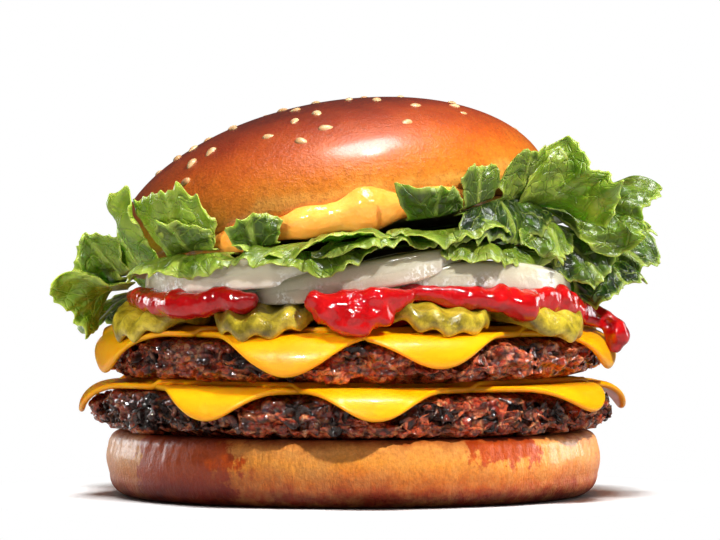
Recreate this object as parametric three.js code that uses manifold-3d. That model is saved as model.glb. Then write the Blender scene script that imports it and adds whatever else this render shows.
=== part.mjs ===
// A double cheeseburger: heel, two patties under melted cheese, pickles, ketchup,
// onion, lettuce, sauce and a seeded crown. Millimetres, +Z up, front towards -Y.
// The origin is the middle of the flat underside.
import * as THREE from "three";
import Module from "manifold-3d";

const wasm = await Module();
wasm.setup();

// ---------------------------------------------------------------- driving sizes
const GAP = 0.35; // clearance between neighbouring pieces

const HEEL = { radius: 58.4, height: 15.4, footRound: 5.2, topRound: 3.2, seed: 5 };

const LOWER_PATTY = { radius: 62.9, base: HEEL.height + GAP, height: 9.5, rim: 5.6, seed: 21 };
const CHEESE_THICKNESS = 2.4;
const LAYER_STEP = LOWER_PATTY.height + 2 * GAP + CHEESE_THICKNESS;
const UPPER_PATTY = { radius: 60.7, base: LOWER_PATTY.base + LAYER_STEP, height: 9.3, rim: 5.6, seed: 34 };
const CRAG_DEPTH = 3.6; // how deep the crevices of a patty's side go

const CHEESE_TOP = UPPER_PATTY.base + UPPER_PATTY.height + GAP + CHEESE_THICKNESS;
const SLICE_HALF_SIDE = 50.5; // half the side of a square cheese slice

const PICKLE = { radius: 13.2, thickness: 3.4, ridge: 0.55 };

const CROWN = { radius: 52.3, rise: 27.6, lip: 3.7, seed: 11 };
const CROWN_PLACE = { x: -4.2, y: 0, z: 64.9, sideTilt: 10.9, frontTilt: 6 };
const SEED = { count: 56, length: 3.5, width: 2.3, thickness: 1.7, edge: 0.9, sunk: 0.4, seed: 195 };

const LEAF_THICKNESS = 0.8;
const LEAF_TUCK = 4; // how far a leaf reaches in under the bun, and half of that high up
const LEAF_GAP = 0.5; // clearance between leaves
const LEAF_SLACK = 0.3; // how much a leaf's cut edges may be simplified
const INNER_LEVELS = [0.2, 0.5, 0.8]; // of the leaves that run through the middle
const INNER_MARGIN = 11; // how far they stay behind the rim
const INNER_STEP = 15; // how much shorter each is than the last on the left, where the room is low

// ---------------------------------------------------------------- colours and finish
const finish = (color, roughness) => new THREE.MeshStandardMaterial({ color, roughness, metalness: 0 });
const BREAD = finish(0xb7662f, 0.45);
const MEAT = finish(0x6b3220, 0.55);
const CHEESE = finish(0xffc40c, 0.35);
const PICKLE_GREEN = finish(0x8d8634, 0.3);
const KETCHUP = finish(0xb71d22, 0.2);
const ONION = finish(0xd8cfba, 0.3);
const LETTUCE = finish(0x5f8d36, 0.45);
const SAUCE = finish(0xf6b04c, 0.3);

// ---------------------------------------------------------------- small helpers
const TAU = Math.PI * 2;
const radians = THREE.MathUtils.degToRad;
const polar = (radius, angle, z) =>
  new THREE.Vector3(radius * Math.cos(angle), radius * Math.sin(angle), z);

function seededRandom(seed) {
  let state = seed >>> 0;
  return () => {
    state = (state + 0x6d2b79f5) >>> 0;
    let value = Math.imul(state ^ (state >>> 15), 1 | state);
    value = (value + Math.imul(value ^ (value >>> 7), 61 | value)) ^ value;
    return ((value ^ (value >>> 14)) >>> 0) / 4294967296;
  };
}

// An uneven, closed outline: a few random waves round the full circle.
function unevenness(seed, size, orders) {
  const random = seededRandom(seed);
  const waves = orders.map((order) => ({ order, phase: random() * TAU, part: 0.5 + random() }));
  return (angle) =>
    waves.reduce((sum, w) => sum + (w.part * size * Math.sin(w.order * angle + w.phase)) / w.order, 0);
}

// Smooth lattice noise between 0 and 1.
function latticeValue(i, j, k) {
  let hash = Math.imul(i, 374761393) ^ Math.imul(j, 668265263) ^ Math.imul(k, 2147483647);
  hash = Math.imul(hash ^ (hash >>> 13), 1274126177);
  return ((hash ^ (hash >>> 16)) >>> 0) / 4294967296;
}

function smoothNoise(x, y, z) {
  const cell = [x, y, z].map(Math.floor);
  const fade = [x, y, z].map((value, axis) => THREE.MathUtils.smootherstep(value - cell[axis], 0, 1));
  let sum = 0;
  for (let corner = 0; corner < 8; corner += 1) {
    const step = [corner & 1, (corner >> 1) & 1, (corner >> 2) & 1];
    const weight = step.reduce((w, s, axis) => w * (s ? fade[axis] : 1 - fade[axis]), 1);
    sum += weight * latticeValue(cell[0] + step[0], cell[1] + step[1], cell[2] + step[2]);
  }
  return sum;
}

function geometryFrom(points, faces) {
  const geometry = new THREE.BufferGeometry();
  geometry.setAttribute("position", new THREE.Float32BufferAttribute(points.flatMap((p) => p.toArray()), 3));
  let volume = 0;
  for (const [a, b, c] of faces) {
    volume += points[a].dot(new THREE.Vector3().crossVectors(points[b], points[c]));
  }
  const outward = volume >= 0 ? faces : faces.map(([a, b, c]) => [a, c, b]);
  geometry.setIndex(outward.flat());
  return geometry;
}

// A closed solid through a row of equal rings, with a fan over each end.
function loft(rings, tips) {
  const sides = rings[0].length;
  const points = rings.flat();
  const faces = [];
  for (let row = 0; row + 1 < rings.length; row += 1) {
    for (let side = 0; side < sides; side += 1) {
      const next = (side + 1) % sides;
      const [a, b] = [row * sides + side, row * sides + next];
      faces.push([a, b, b + sides], [a, b + sides, a + sides]);
    }
  }
  const middle = (ring) => ring.reduce((sum, p) => sum.add(p), new THREE.Vector3()).divideScalar(sides);
  const last = (rings.length - 1) * sides;
  points.push(...(tips ?? [middle(rings[0]), middle(rings[rings.length - 1])]));
  for (let side = 0; side < sides; side += 1) {
    const next = (side + 1) % sides;
    faces.push([next, side, points.length - 2], [last + side, last + next, points.length - 1]);
  }
  return geometryFrom(points, faces);
}

// A round solid: profile(angle) lists its [radius, z] rows, underside first.
function roundSolid(sides, profile) {
  const columns = [];
  for (let side = 0; side < sides; side += 1) {
    const angle = (side / sides) * TAU;
    columns.push(profile(angle).map(([radius, z]) => polar(radius, angle, z)));
  }
  return loft(columns[0].map((_, row) => columns.map((column) => column[row])));
}

// A solid round a path: half(t) gives the section's half sizes, outwards and across.
function beadSolid(steps, sides, squareness, path, half) {
  const rings = [];
  for (let step = 0; step <= steps; step += 1) {
    const t = (step / steps) * 2 - 1;
    const centre = path(t);
    const along = path(t + 0.01).sub(path(t - 0.01)).normalize();
    const outwards = new THREE.Vector3(centre.x, centre.y, 0).normalize();
    outwards.addScaledVector(along, -outwards.dot(along)).normalize();
    const across = new THREE.Vector3().crossVectors(along, outwards);
    const [deep, tall] = half(t);
    const ring = [];
    for (let side = 0; side < sides; side += 1) {
      const turn = ((side + 0.5) / sides) * TAU;
      const [c, s] = [Math.cos(turn), Math.sin(turn)];
      const reach = (Math.abs(c) ** squareness + Math.abs(s) ** squareness) ** (-1 / squareness);
      ring.push(
        centre.clone().addScaledVector(outwards, deep * reach * c).addScaledVector(across, tall * reach * s),
      );
    }
    rings.push(ring);
  }
  return loft(rings);
}

// A thin sheet solid between two faces that are split into triangles alike.
function sheetSolid(columns, rows, faceA, faceB) {
  const points = [];
  for (const face of [faceA, faceB]) {
    for (let row = 0; row <= rows; row += 1) {
      for (let column = 0; column <= columns; column += 1) {
        points.push(face((column / columns) * 2 - 1, row / rows));
      }
    }
  }
  const other = points.length / 2;
  const at = (column, row) => row * (columns + 1) + column;
  const faces = [];
  for (let row = 0; row < rows; row += 1) {
    for (let column = 0; column < columns; column += 1) {
      const [a, b] = [at(column, row), at(column + 1, row)];
      const [c, d] = [at(column + 1, row + 1), at(column, row + 1)];
      faces.push([a, b, c], [a, c, d]);
      faces.push([a + other, c + other, b + other], [a + other, d + other, c + other]);
    }
  }
  const border = [];
  for (let column = 0; column < columns; column += 1) border.push(at(column, 0));
  for (let row = 0; row < rows; row += 1) border.push(at(columns, row));
  for (let column = columns; column > 0; column -= 1) border.push(at(column, rows));
  for (let row = rows; row > 0; row -= 1) border.push(at(0, row));
  border.forEach((here, index) => {
    const next = border[(index + 1) % border.length];
    faces.push([next, here, here + other], [next, here + other, next + other]);
  });
  return geometryFrom(points, faces);
}

// ---------------------------------------------------------------- cutting and joining
function solidOf(geometry) {
  const mesh = new wasm.Mesh({
    numProp: 3,
    vertProperties: new Float32Array(geometry.attributes.position.array),
    triVerts: new Uint32Array(geometry.index.array),
  });
  return new wasm.Manifold(mesh);
}

function geometryOf(solid) {
  const mesh = solid.getMesh();
  const geometry = new THREE.BufferGeometry();
  geometry.setAttribute("position", new THREE.Float32BufferAttribute(mesh.vertProperties, 3));
  geometry.setIndex([...mesh.triVerts]);
  return geometry;
}

// Cuts a mesh clear of others, drops facets finer than the slack and keeps its largest body.
function clearOf(mesh, keepOuts, slack = 0) {
  mesh.updateMatrixWorld(true);
  const toLocal = mesh.matrixWorld.clone().invert();
  let solid = solidOf(mesh.geometry);
  for (const keepOut of keepOuts) {
    keepOut.updateMatrixWorld(true);
    const matrix = toLocal.clone().multiply(keepOut.matrixWorld);
    solid = solid.subtract(solidOf(keepOut.geometry.clone().applyMatrix4(matrix)));
  }
  if (slack > 0) solid = solid.simplify(slack);
  const bodies = solid.decompose().sort((a, b) => b.volume() - a.volume());
  mesh.geometry = geometryOf(bodies[0]);
  return mesh;
}

function named(name, geometry, material) {
  const mesh = new THREE.Mesh(geometry, material);
  mesh.name = name;
  return mesh;
}

// ---------------------------------------------------------------- heel
function heel() {
  const outline = unevenness(HEEL.seed, 0.7, [2, 3, 5]);
  const { height, footRound, topRound } = HEEL;
  const geometry = roundSolid(24, (angle) => {
    const radius = HEEL.radius + outline(angle);
    const rows = [];
    for (const turn of [0, 30, 60, 90].map(radians)) {
      rows.push([radius - footRound * (1 - Math.sin(turn)), footRound * (1 - Math.cos(turn))]);
    }
    rows.push([radius + 0.6, height * 0.55]);
    for (const turn of [15, 50, 90].map(radians)) {
      const drop = topRound * (1 - Math.sin(turn));
      rows.push([radius - topRound * (1 - Math.cos(turn)), height - drop]);
    }
    return rows;
  });
  return named("heel", geometry, BREAD);
}

// ---------------------------------------------------------------- patties
const pattyOutline = (patty) => unevenness(patty.seed, 1.3, [2, 3, 5, 7]);

function patty(name, size) {
  const outline = pattyOutline(size);
  const half = size.height / 2;
  const geometry = roundSolid(50, (angle) => {
    const radius = size.radius + outline(angle);
    return [-90, -55, -22, 12, 44, 70, 90].map((degrees) => {
      const turn = radians(degrees);
      const flat = Math.abs(degrees) === 90 ? 0.15 : 1;
      const place = polar(radius, angle, size.base + degrees / 9);
      const coarse = smoothNoise(place.x / 6, place.y / 6, place.z / 4 + size.seed);
      const fine = smoothNoise(place.x / 3, place.y / 3, place.z / 2 + size.seed);
      const depth = THREE.MathUtils.smoothstep(0.6 * coarse + 0.4 * fine, 0.22, 0.78);
      const crag = flat * (0.4 + (CRAG_DEPTH - 0.4) * depth);
      return [
        radius - size.rim + (size.rim - crag) * Math.cos(turn),
        size.base + half + (half - crag * 0.6) * Math.sin(turn),
      ];
    });
  });
  return named(name, geometry, MEAT);
}

// ---------------------------------------------------------------- cheese
// A point s mm from the middle along a patty's top and down its side, lifted off it.
function drape(size, radius, s, lift) {
  const half = size.height / 2;
  const start = radius - size.rim;
  const bend = (half + size.rim) / 2;
  const turn = (s - start) / bend;
  if (turn <= 0) return [s, size.base + size.height + lift];
  if (turn <= Math.PI / 2) {
    return [
      start + (size.rim + lift) * Math.sin(turn),
      size.base + half + (half + lift) * Math.cos(turn),
    ];
  }
  const hang = (turn - Math.PI / 2) * bend;
  return [radius + lift, size.base + half - hang];
}

// Two square slices laid crosswise and melted into one sheet.
function cheeseOutline(turns, seed) {
  const wave = unevenness(seed, 1.2, [3, 5, 8]);
  const square = (angle) => {
    const [c, s] = [Math.abs(Math.cos(angle)), Math.abs(Math.sin(angle))];
    return SLICE_HALF_SIDE * (c ** 9 + s ** 9) ** (-1 / 9);
  };
  return (angle) => {
    const sides = turns.map((turn) => square(angle - radians(turn) - Math.PI / 4));
    return Math.max(...sides) + wave(angle);
  };
}

function cheese(name, size, turns, grow = 0) {
  const outline = pattyOutline(size);
  const reach = cheeseOutline(turns, size.seed + 1);
  const geometry = roundSolid(40, (angle) => {
    const radius = size.radius + outline(angle);
    const end = reach(angle) + grow;
    const flat = Math.min(end - 9, radius - size.rim - 0.5);
    const at = (share, lift) => drape(size, radius, flat + (end - 1 - flat) * share, lift);
    const thickness = CHEESE_THICKNESS + grow;
    const arch = (share) => GAP * 1.5 + 0.65 * Math.sin(share * Math.PI); // clear of the bend
    const below = [0, 0.3, 0.55, 0.78, 1].map((share) => at(share, arch(share)));
    const edge = [drape(size, radius, end, GAP + thickness * 0.4)];
    const above = [1, 0.6, 0].map((share) => at(share, GAP + thickness));
    return [...below, ...edge, ...above];
  });
  return named(name, geometry, CHEESE);
}

// ---------------------------------------------------------------- pickles
// azimuth and radius of the middle, height, outward tilt, roll and direction of the ridges
const PICKLE_PLACES = [
  { azimuth: -152, radius: 48.5, z: 44.0, tilt: 5, roll: -2, ridges: 20, droop: 3.8 },
  { azimuth: -112, radius: 48.6, z: 43.8, tilt: 4, roll: 2, ridges: 12, droop: 2.8 },
  { azimuth: -68, radius: 48.6, z: 44.4, tilt: 4, roll: -4, ridges: -8, droop: 2.8 },
  { azimuth: -35, radius: 49.5, z: 44.0, tilt: 5, roll: -2, ridges: 25, droop: 3.8 },
  { azimuth: 25, radius: 48.5, z: 43.8, tilt: 4, roll: 0, ridges: 50, droop: 2.6 },
  { azimuth: 78, radius: 48.0, z: 43.8, tilt: 4, roll: 3, ridges: -30, droop: 2.6 },
  { azimuth: 160, radius: 46.5, z: 43.6, tilt: 2, roll: 0, ridges: 70, droop: 2.4 },
];

// A crinkle-cut slice: ridged on both faces, its outer half sagging over the cheese.
function pickleGeometry(place, grow = 0) {
  const radius = PICKLE.radius + grow * 1.3;
  const ridge = grow > 0 ? 0 : PICKLE.ridge;
  const columns = grow > 0 ? 6 : 11;
  const turn = radians(place.ridges + 90);
  const face = (side) => (u, v) => {
    const x = radius * Math.sin((u * Math.PI) / 2.12);
    const y = (v * 2 - 1) * Math.sqrt(radius ** 2 - x ** 2);
    const outwards = x * Math.cos(turn) - y * Math.sin(turn);
    const sideways = x * Math.sin(turn) + y * Math.cos(turn);
    const wave = Math.round((u + 1) * columns * 0.5) % 2 ? ridge : -ridge;
    const sag = place.droop * (Math.max(0, outwards) / PICKLE.radius) ** 2;
    const z = side * (PICKLE.thickness / 2 + grow) + wave - sag;
    return new THREE.Vector3(outwards, sideways, z);
  };
  return sheetSolid(columns, 2, face(1), face(-1));
}

function placePickle(mesh, place) {
  const angle = radians(place.azimuth);
  mesh.position.copy(polar(place.radius, angle, place.z));
  mesh.rotation.set(radians(place.roll), radians(place.tilt), angle, "ZYX");
  return mesh;
}

// ---------------------------------------------------------------- onion
// azimuth of the middle and half spread, middle height, rise to the +azimuth end, sag, thickness
const ONION_PLACES = [
  { azimuth: -126, spread: 29, radius: 50.0, z: 52.2, rise: 1.6, sag: 1.0, thickness: 7.3 },
  { azimuth: -88, spread: 26, radius: 50.2, z: 51.8, rise: 4.8, sag: -0.4, thickness: 7.2 },
  { azimuth: -47, spread: 31, radius: 50.0, z: 52.0, rise: -2.3, sag: 3.2, thickness: 6.8 },
  { azimuth: 48, spread: 30, radius: 49.0, z: 48.6, rise: -1.2, sag: 0.5, thickness: 6.0 },
  { azimuth: 122, spread: 32, radius: 47.0, z: 45.4, rise: -0.6, sag: 0.5, thickness: 4.2 },
];

function onionGeometry(place, grow = 0) {
  const path = (t) => {
    const z = place.z + place.rise * t - place.sag * t * t;
    return polar(place.radius - 2.5 * t * t, radians(place.azimuth + place.spread * t), z);
  };
  const half = (t) => {
    const taper = Math.sqrt(Math.max(0, 1 - 0.96 * Math.min(1, Math.abs(t)) ** 2.6));
    return [7.4 * (0.55 + 0.45 * taper) + grow, (place.thickness / 2) * taper + grow];
  };
  return beadSolid(8, 8, 5, path, half);
}

// ---------------------------------------------------------------- ketchup
// A pool on the cheese that is squeezed out between the pickles in a few tongues.
const KETCHUP_TONGUES = [
  { azimuth: -138, width: 26, reach: 57.5, top: 48.1, base: 43.4 },
  { azimuth: -88, width: 13, reach: 60.5, top: 47.7, base: 38.8 },
  { azimuth: -48, width: 30, reach: 58.5, top: 48.0, base: 42.6 },
  { azimuth: -15, width: 14, reach: 59.0, top: 46.0, base: 41.2 },
  { azimuth: 52, width: 14, reach: 55.0, top: 45.2, base: 41.6 },
];
const POOL = { radius: 33, top: 45.0, base: CHEESE_TOP + GAP };

function ketchupAt(angle) {
  const shape = { reach: POOL.radius, top: POOL.top, base: POOL.base };
  for (const tongue of KETCHUP_TONGUES) {
    const offset = Math.atan2(
      Math.sin(angle - radians(tongue.azimuth)),
      Math.cos(angle - radians(tongue.azimuth)),
    );
    const share = Math.exp(-((Math.abs(offset) / radians(tongue.width * 0.8)) ** 4));
    for (const key of ["reach", "top", "base"]) shape[key] += (tongue[key] - shape[key]) * share;
  }
  return shape;
}

function ketchup() {
  const geometry = roundSolid(32, (angle) => {
    const { reach, top, base } = ketchupAt(angle);
    const inner = Math.min(reach - 9, 30);
    return [
      [inner, POOL.base],
      [reach - 3.4, base],
      [reach, base + (top - base) * 0.35],
      [reach - 0.6, base + (top - base) * 0.7],
      [reach - 3.8, top],
      [inner, POOL.top],
    ];
  });
  return named("ketchup", geometry, KETCHUP);
}

// The drip at one end: it hangs down beside the cheese.
function ketchupDrip() {
  const path = (t) => {
    const outwards = 9.8 * Math.min(1, 1.3 * (t + 1));
    return polar(54.4 + outwards, radians(-14), 44.4 - 5.1 * Math.max(0, t + 0.8));
  };
  const half = (t) => {
    const drop = 1.9 + 1.3 * Math.sin(Math.max(0, t + 0.2) * 2.4);
    const round = Math.sqrt(Math.max(0.05, 1 - Math.max(0, t) ** 8));
    return [drop * 0.8 * round, drop * round];
  };
  return beadSolid(7, 6, 2, path, half);
}

// ---------------------------------------------------------------- crown
function crownGeometry(grow = 0) {
  const outline = unevenness(CROWN.seed, 0.5, [2, 3, 5]);
  const { rise, lip } = CROWN;
  return roundSolid(30, (angle) => {
    const radius = CROWN.radius + outline(angle) + grow;
    const under = [90, 45].map(radians);
    const over = [0, 14, 28, 42, 57, 74].map(radians);
    return [
      ...under.map((turn) => [radius - lip * (1 - Math.cos(turn)), -(lip + grow) * Math.sin(turn)]),
      ...over.map((turn) => [radius * Math.cos(turn), (rise + grow) * Math.sin(turn)]),
    ];
  });
}

// One sesame seed: a flattened drop, pointed at one end, lying along X.
function seedGeometry(scale) {
  const rings = [-0.35, 0.5].map((place) => {
    const girth = Math.sqrt(1 - place * place) * (1 + 0.3 * place);
    const ring = [];
    for (let side = 0; side < 4; side += 1) {
      const turn = ((side + 0.5) / 4) * TAU;
      ring.push(
        new THREE.Vector3(
          (place * SEED.length * scale) / 2,
          (girth * Math.cos(turn) * SEED.width * scale) / 2,
          (girth * Math.sin(turn) * SEED.thickness * scale) / 2,
        ),
      );
    }
    return ring;
  });
  const tips = [-1, 1].map((end) => new THREE.Vector3((end * SEED.length * scale) / 2, 0, 0));
  return loft(rings, tips);
}

// Seeds on a golden-angle spiral over the dome, each a little off its place and turned anyhow.
function seededCrown() {
  const random = seededRandom(SEED.seed);
  const holder = new THREE.Object3D();
  let solid = solidOf(crownGeometry());
  for (let index = 0; index < SEED.count; index += 1) {
    const share = SEED.edge * Math.sqrt((index + 0.5) / SEED.count) + (random() - 0.5) * 0.07;
    const angle = index * 2.39996 + (random() - 0.5) * 0.7;
    const lift = Math.sqrt(1 - share * share);
    const normal = polar(share / CROWN.radius, angle, lift / CROWN.rise).normalize();
    holder.position.copy(polar(CROWN.radius * share, angle, CROWN.rise * lift));
    holder.position.addScaledVector(normal, -SEED.sunk);
    holder.quaternion.setFromUnitVectors(new THREE.Vector3(0, 0, 1), normal);
    holder.rotateZ(random() * TAU);
    holder.updateMatrix();
    const scale = 0.9 + 0.2 * random();
    solid = solid.add(solidOf(seedGeometry(scale).applyMatrix4(holder.matrix)));
  }
  return named("crown", geometryOf(solid.simplify(0.05)), BREAD);
}

// ---------------------------------------------------------------- sauce
// A spread under the crown whose front edge swells out past the bun in a wavy bead.
function sauceGeometry(grow = 0) {
  const wave = unevenness(17, 1, [5, 9, 13]);
  const { radius, lip } = CROWN;
  return roundSolid(36, (angle) => {
    const offset = Math.atan2(Math.sin(angle + Math.PI / 2), Math.cos(angle + Math.PI / 2));
    const front = Math.exp(-((Math.abs(offset) / radians(44)) ** 6));
    const blob = Math.exp(-(((offset - radians(7)) / radians(9)) ** 2));
    const lumps = Math.sin(17 * angle + 1.5 * Math.sin(4 * angle));
    const swell = front * (2.2 + 1.1 * wave(angle) + 1.9 * blob + 0.6 * lumps + 0.5 * Math.sin(offset));
    const top = -lip - GAP - 0.05;
    const edge = radius - 7 + front * (6 + 0.6 * swell) + grow;
    return [
      [edge - 9, top - 2.1 - grow],
      [edge - 2.5, top - 2.1 - 0.7 * swell - grow],
      [edge - 0.4 + 0.2 * swell, top - 1.6 - 0.5 * swell],
      [edge + 0.55 * swell, top - 0.9 + 0.25 * swell],
      [edge + 0.2 * swell, top - 0.2 + 0.8 * swell],
      [edge - 1.2, top + swell],
      [edge - 9, top],
    ];
  });
}

// ---------------------------------------------------------------- lettuce
const underCrown = (x, y) =>
  CROWN_PLACE.z - CROWN.lip +
  (x - CROWN_PLACE.x) * Math.tan(radians(CROWN_PLACE.sideTilt)) -
  y * Math.tan(radians(CROWN_PLACE.frontTilt));

// The wedge between the onion and the bun: level 0 is its floor and 1 its ceiling.
function wedgeHeight(radius, angle, level) {
  const [x, y] = [radius * Math.cos(angle), radius * Math.sin(angle)];
  const { smoothstep } = THREE.MathUtils;
  const fromLeftOnion = Math.atan2(Math.sin(angle + radians(130)), Math.cos(angle + radians(130)));
  const leftOnion = 3.4 * Math.exp(-((fromLeftOnion / radians(24)) ** 2)) * smoothstep(radius, 42, 54);
  const floor = 54.2 + 0.105 * Math.min(x, 0) + 0.05 * Math.max(x, 0) - 0.07 * y + leftOnion;
  const fromFront = Math.abs(Math.atan2(Math.sin(angle + Math.PI / 2), Math.cos(angle + Math.PI / 2)));
  const bead = 3.4 * (1 - smoothstep(fromFront, radians(22), radians(44))) * smoothstep(radius, 38, 48);
  const ceiling = underCrown(x, y) - 1.1 - 2.4 * (1 - smoothstep(radius, 38, 50)) - bead;
  return floor + Math.max(0.5, ceiling - floor) * level;
}

// Where the rows of facets lie along a leaf, closer together where it is free.
const leafRows = (place) => (place.length < 12 ? [0, 0.55, 1] : [0, 0.4, 0.72, 1]);

// Where a leaf lies and how wide it is; how long its free part is and at which level in the
// wedge it starts; the pitch that it starts with and how far it bends and banks (degrees);
// its ruffles (mm), how much longer its right side is, and where its folds start.
const leaf = (azimuth, width, length, level, rise, bend, bank, ruffle, slant, shift) => ({
  azimuth, width, length, level, rise, bend, bank, ruffle, slant, shift,
});
const LEAVES = [
  // left side and front left
  leaf(-171, 22, 13, 0, -18, -35, 45, 1.8, 0, 0),
  leaf(-168, 17, 11.5, 0.55, 22, 5, 60, 2.4, 0, 1),
  leaf(-160, 14, 12, 0.95, 38, 10, 50, 2.2, 0, 1),
  leaf(-149, 20, 17, 1, 55, 30, -25, 2.4, 0.15, 2),
  leaf(-131, 20, 15.5, 1, 60, 20, 15, 2, -0.2, 0),
  leaf(-130, 16, 9, 1, 45, 20, 0, 1.8, -0.2, 0),
  leaf(-131, 32, 8, 0, -10, -60, 0, 2.4, 0, 1),
  // front
  leaf(-112, 13, 8, 1, 58, 20, 0, 1.5, 0, 2),
  leaf(-98, 40, 6.5, 0.6, 5, -30, 0, 1.6, 0, 0),
  leaf(-100, 34, 8, 0, -10, -50, 0, 2.4, -0.1, 1),
  leaf(-84, 30, 7, 0.35, 0, -45, 0, 1.8, 0, 1),
  leaf(-66, 36, 7.5, 0.5, 5, -50, 0, 1.9, 0.1, 2),
  leaf(-69, 20, 8, 0.95, 40, 30, 0, 1.4, -0.6, 0),
  // front right
  leaf(-52, 40, 9, 0.05, -5, -60, 0, 2.3, 0.2, 1),
  leaf(-56, 13, 9.5, 0.95, 65, 15, 0, 1.4, -0.2, 2),
  leaf(-48, 36, 11, 0.85, -35, -50, 0, 1.8, 0, 1),
  leaf(-42, 18, 14, 0.85, 55, 10, -30, 2, 0.2, 0),
  leaf(-33, 23, 21, 0.75, 15, 20, -70, 2.6, 0.1, 2),
  leaf(-36, 19, 14, 0.6, -25, -50, 20, 1.8, 0, 1),
  leaf(-17, 24, 25, 0.7, 5, -25, 60, 3, 0, 2),
  leaf(-8, 24, 25, 0.45, -5, -35, 65, 3, 0, 0),
  leaf(-23, 24, 18, 0.3, -10, -50, 40, 2.6, 0, 1),
  leaf(-14, 24, 22, 0.05, -10, -35, 45, 2.6, 0, 2),
  leaf(6, 26, 22, 0.7, 5, -40, 50, 3, 0, 1),
  // back
  leaf(22, 36, 20, 0.9, 10, -50, 30, 3.6, 0, 0),
  leaf(27, 36, 18, 0.2, -10, -60, 0, 3, 0, 1),
  leaf(51, 38, 18, 0.8, 5, -50, 25, 3.2, 0, 2),
  leaf(70, 38, 16, 0.1, -10, -60, 0, 2.8, 0, 0),
  leaf(93, 40, 16, 0.9, 10, -30, -20, 3, 0, 1),
  leaf(115, 38, 15, 0, -10, -60, 0, 2.8, 0, 2),
  leaf(139, 38, 18, 0.9, 20, 10, 20, 3, 0, 0),
  leaf(154, 32, 16, 0, -10, -50, 0, 2.6, 0, 1),
];

// The folds run through all the leaves alike, so that they nest.
const folds = (angle) => Math.sin(15 * angle + 1.4 * Math.sin(2 * angle));

// How far the bun and the sauce reach from the axis; past that a leaf is free.
function rimRadius(angle) {
  const { x } = CROWN_PLACE;
  const bun = x * Math.cos(angle) + Math.sqrt(CROWN.radius ** 2 - (x * Math.sin(angle)) ** 2);
  return bun + 0.6 + 2.8 * Math.max(0, -Math.sin(angle)) ** 4;
}

function leafPoint(place, number, u, v) {
  const { smoothstep } = THREE.MathUtils;
  const { width, length, level } = place;
  const tuck = level > 0.9 ? LEAF_TUCK / 2 : LEAF_TUCK;
  const crest = 0.5 - Math.abs(Math.sin(Math.PI * (0.8 * u + 0.37 * number)));
  const lobes = 1 - 0.35 * Math.abs(u) ** 2.5 + place.slant * u + 0.16 * crest;
  const along = -tuck + (tuck + length * lobes) * v;
  const out = Math.max(0, along);
  const free = out / length;
  const bank = radians(place.bank) * smoothstep(free, 0, 0.75);
  const across = ((u * width) / 2) * (0.72 + 0.4 * Math.min(1, free));
  const azimuth = radians(place.azimuth) + (across * Math.cos(bank)) / 55;
  const rim = rimRadius(azimuth);
  const start = radians(place.rise);
  const turn = radians(place.bend) / length;
  const pitch = start + turn * out;
  const waver = 1.2 * Math.sin(across / 3.4 + number) + 0.8 * free;
  const curls = 0.5 * Math.sin(across / 1.5 + 2.1 * number + waver);
  const held = Math.min(1.1, free);
  const main = folds(azimuth + 0.37 * place.shift);
  const ruffle = place.ruffle * (held ** 0.8 * main + held ** 1.4 * curls);
  const lift = across * Math.sin(bank) + ruffle * Math.cos(bank);
  const base = wedgeHeight(Math.min(rim + along, rim), azimuth, level);
  const [ahead, up] = [Math.sin(pitch) - Math.sin(start), Math.cos(start) - Math.cos(pitch)];
  const radius = rim + Math.min(0, along) + ahead / turn - Math.sin(pitch) * lift;
  const z = base + up / turn + Math.cos(pitch) * lift;
  return polar(radius, azimuth - (ruffle * Math.sin(bank)) / Math.max(20, radius), z);
}

function leafGeometry(place, number, grow = 0) {
  const step = 0.01;
  const rows = leafRows(place);
  const columns = place.width > 28 ? 5 : 4;
  const surface = (side, u, v) => {
    const across = leafPoint(place, number, u + step, v).sub(leafPoint(place, number, u - step, v));
    const along = leafPoint(place, number, u, v + step).sub(leafPoint(place, number, u, v - step));
    const normal = across.cross(along).normalize();
    return leafPoint(place, number, u, v).addScaledVector(normal, side * (LEAF_THICKNESS / 2 + grow));
  };
  const face = (side) => (column, row) => {
    const v = rows[Math.round(row * (rows.length - 1))];
    const corner = surface(side, column, v);
    if (Math.abs(column) < 1) return corner;
    const inner = surface(side, column * (1 - 2 / columns), v);
    return corner.lerp(inner, -0.35 * grow);
  };
  return sheetSolid(columns, rows.length - 1, face(1), face(-1));
}

// A round leaf that runs through the middle, behind the ruffled ones.
function innerLeafGeometry(number, grow = 0) {
  const level = INNER_LEVELS[number - 1];
  return roundSolid(14, (angle) => {
    const short = (INNER_STEP * (number - 1) * (1 - Math.cos(angle))) / 2;
    const rim = rimRadius(angle) - INNER_MARGIN - short;
    const place = (share, side) => {
      const waves = Math.sin(4 * angle + 2 * number + 3 * share) + 0.4 * Math.sin(7 * angle + 5 * number);
      const z = wedgeHeight(share * rim, angle, level) + 0.6 * waves * share;
      return [share * rim + (share > 0.9 ? grow : 0), z + side * (LEAF_THICKNESS / 2 + grow)];
    };
    return [place(0.5, -1), place(1, -1), place(1, 1), place(0.5, 1)];
  });
}

// ---------------------------------------------------------------- the burger
const burger = new THREE.Group();
burger.add(heel());
burger.add(patty("patty_lower", LOWER_PATTY));
burger.add(cheese("cheese_lower", LOWER_PATTY, [-121, -85]));
burger.add(patty("patty_upper", UPPER_PATTY));
const UPPER_SLICES = [-104, -71];
burger.add(cheese("cheese_upper", UPPER_PATTY, UPPER_SLICES));

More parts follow.
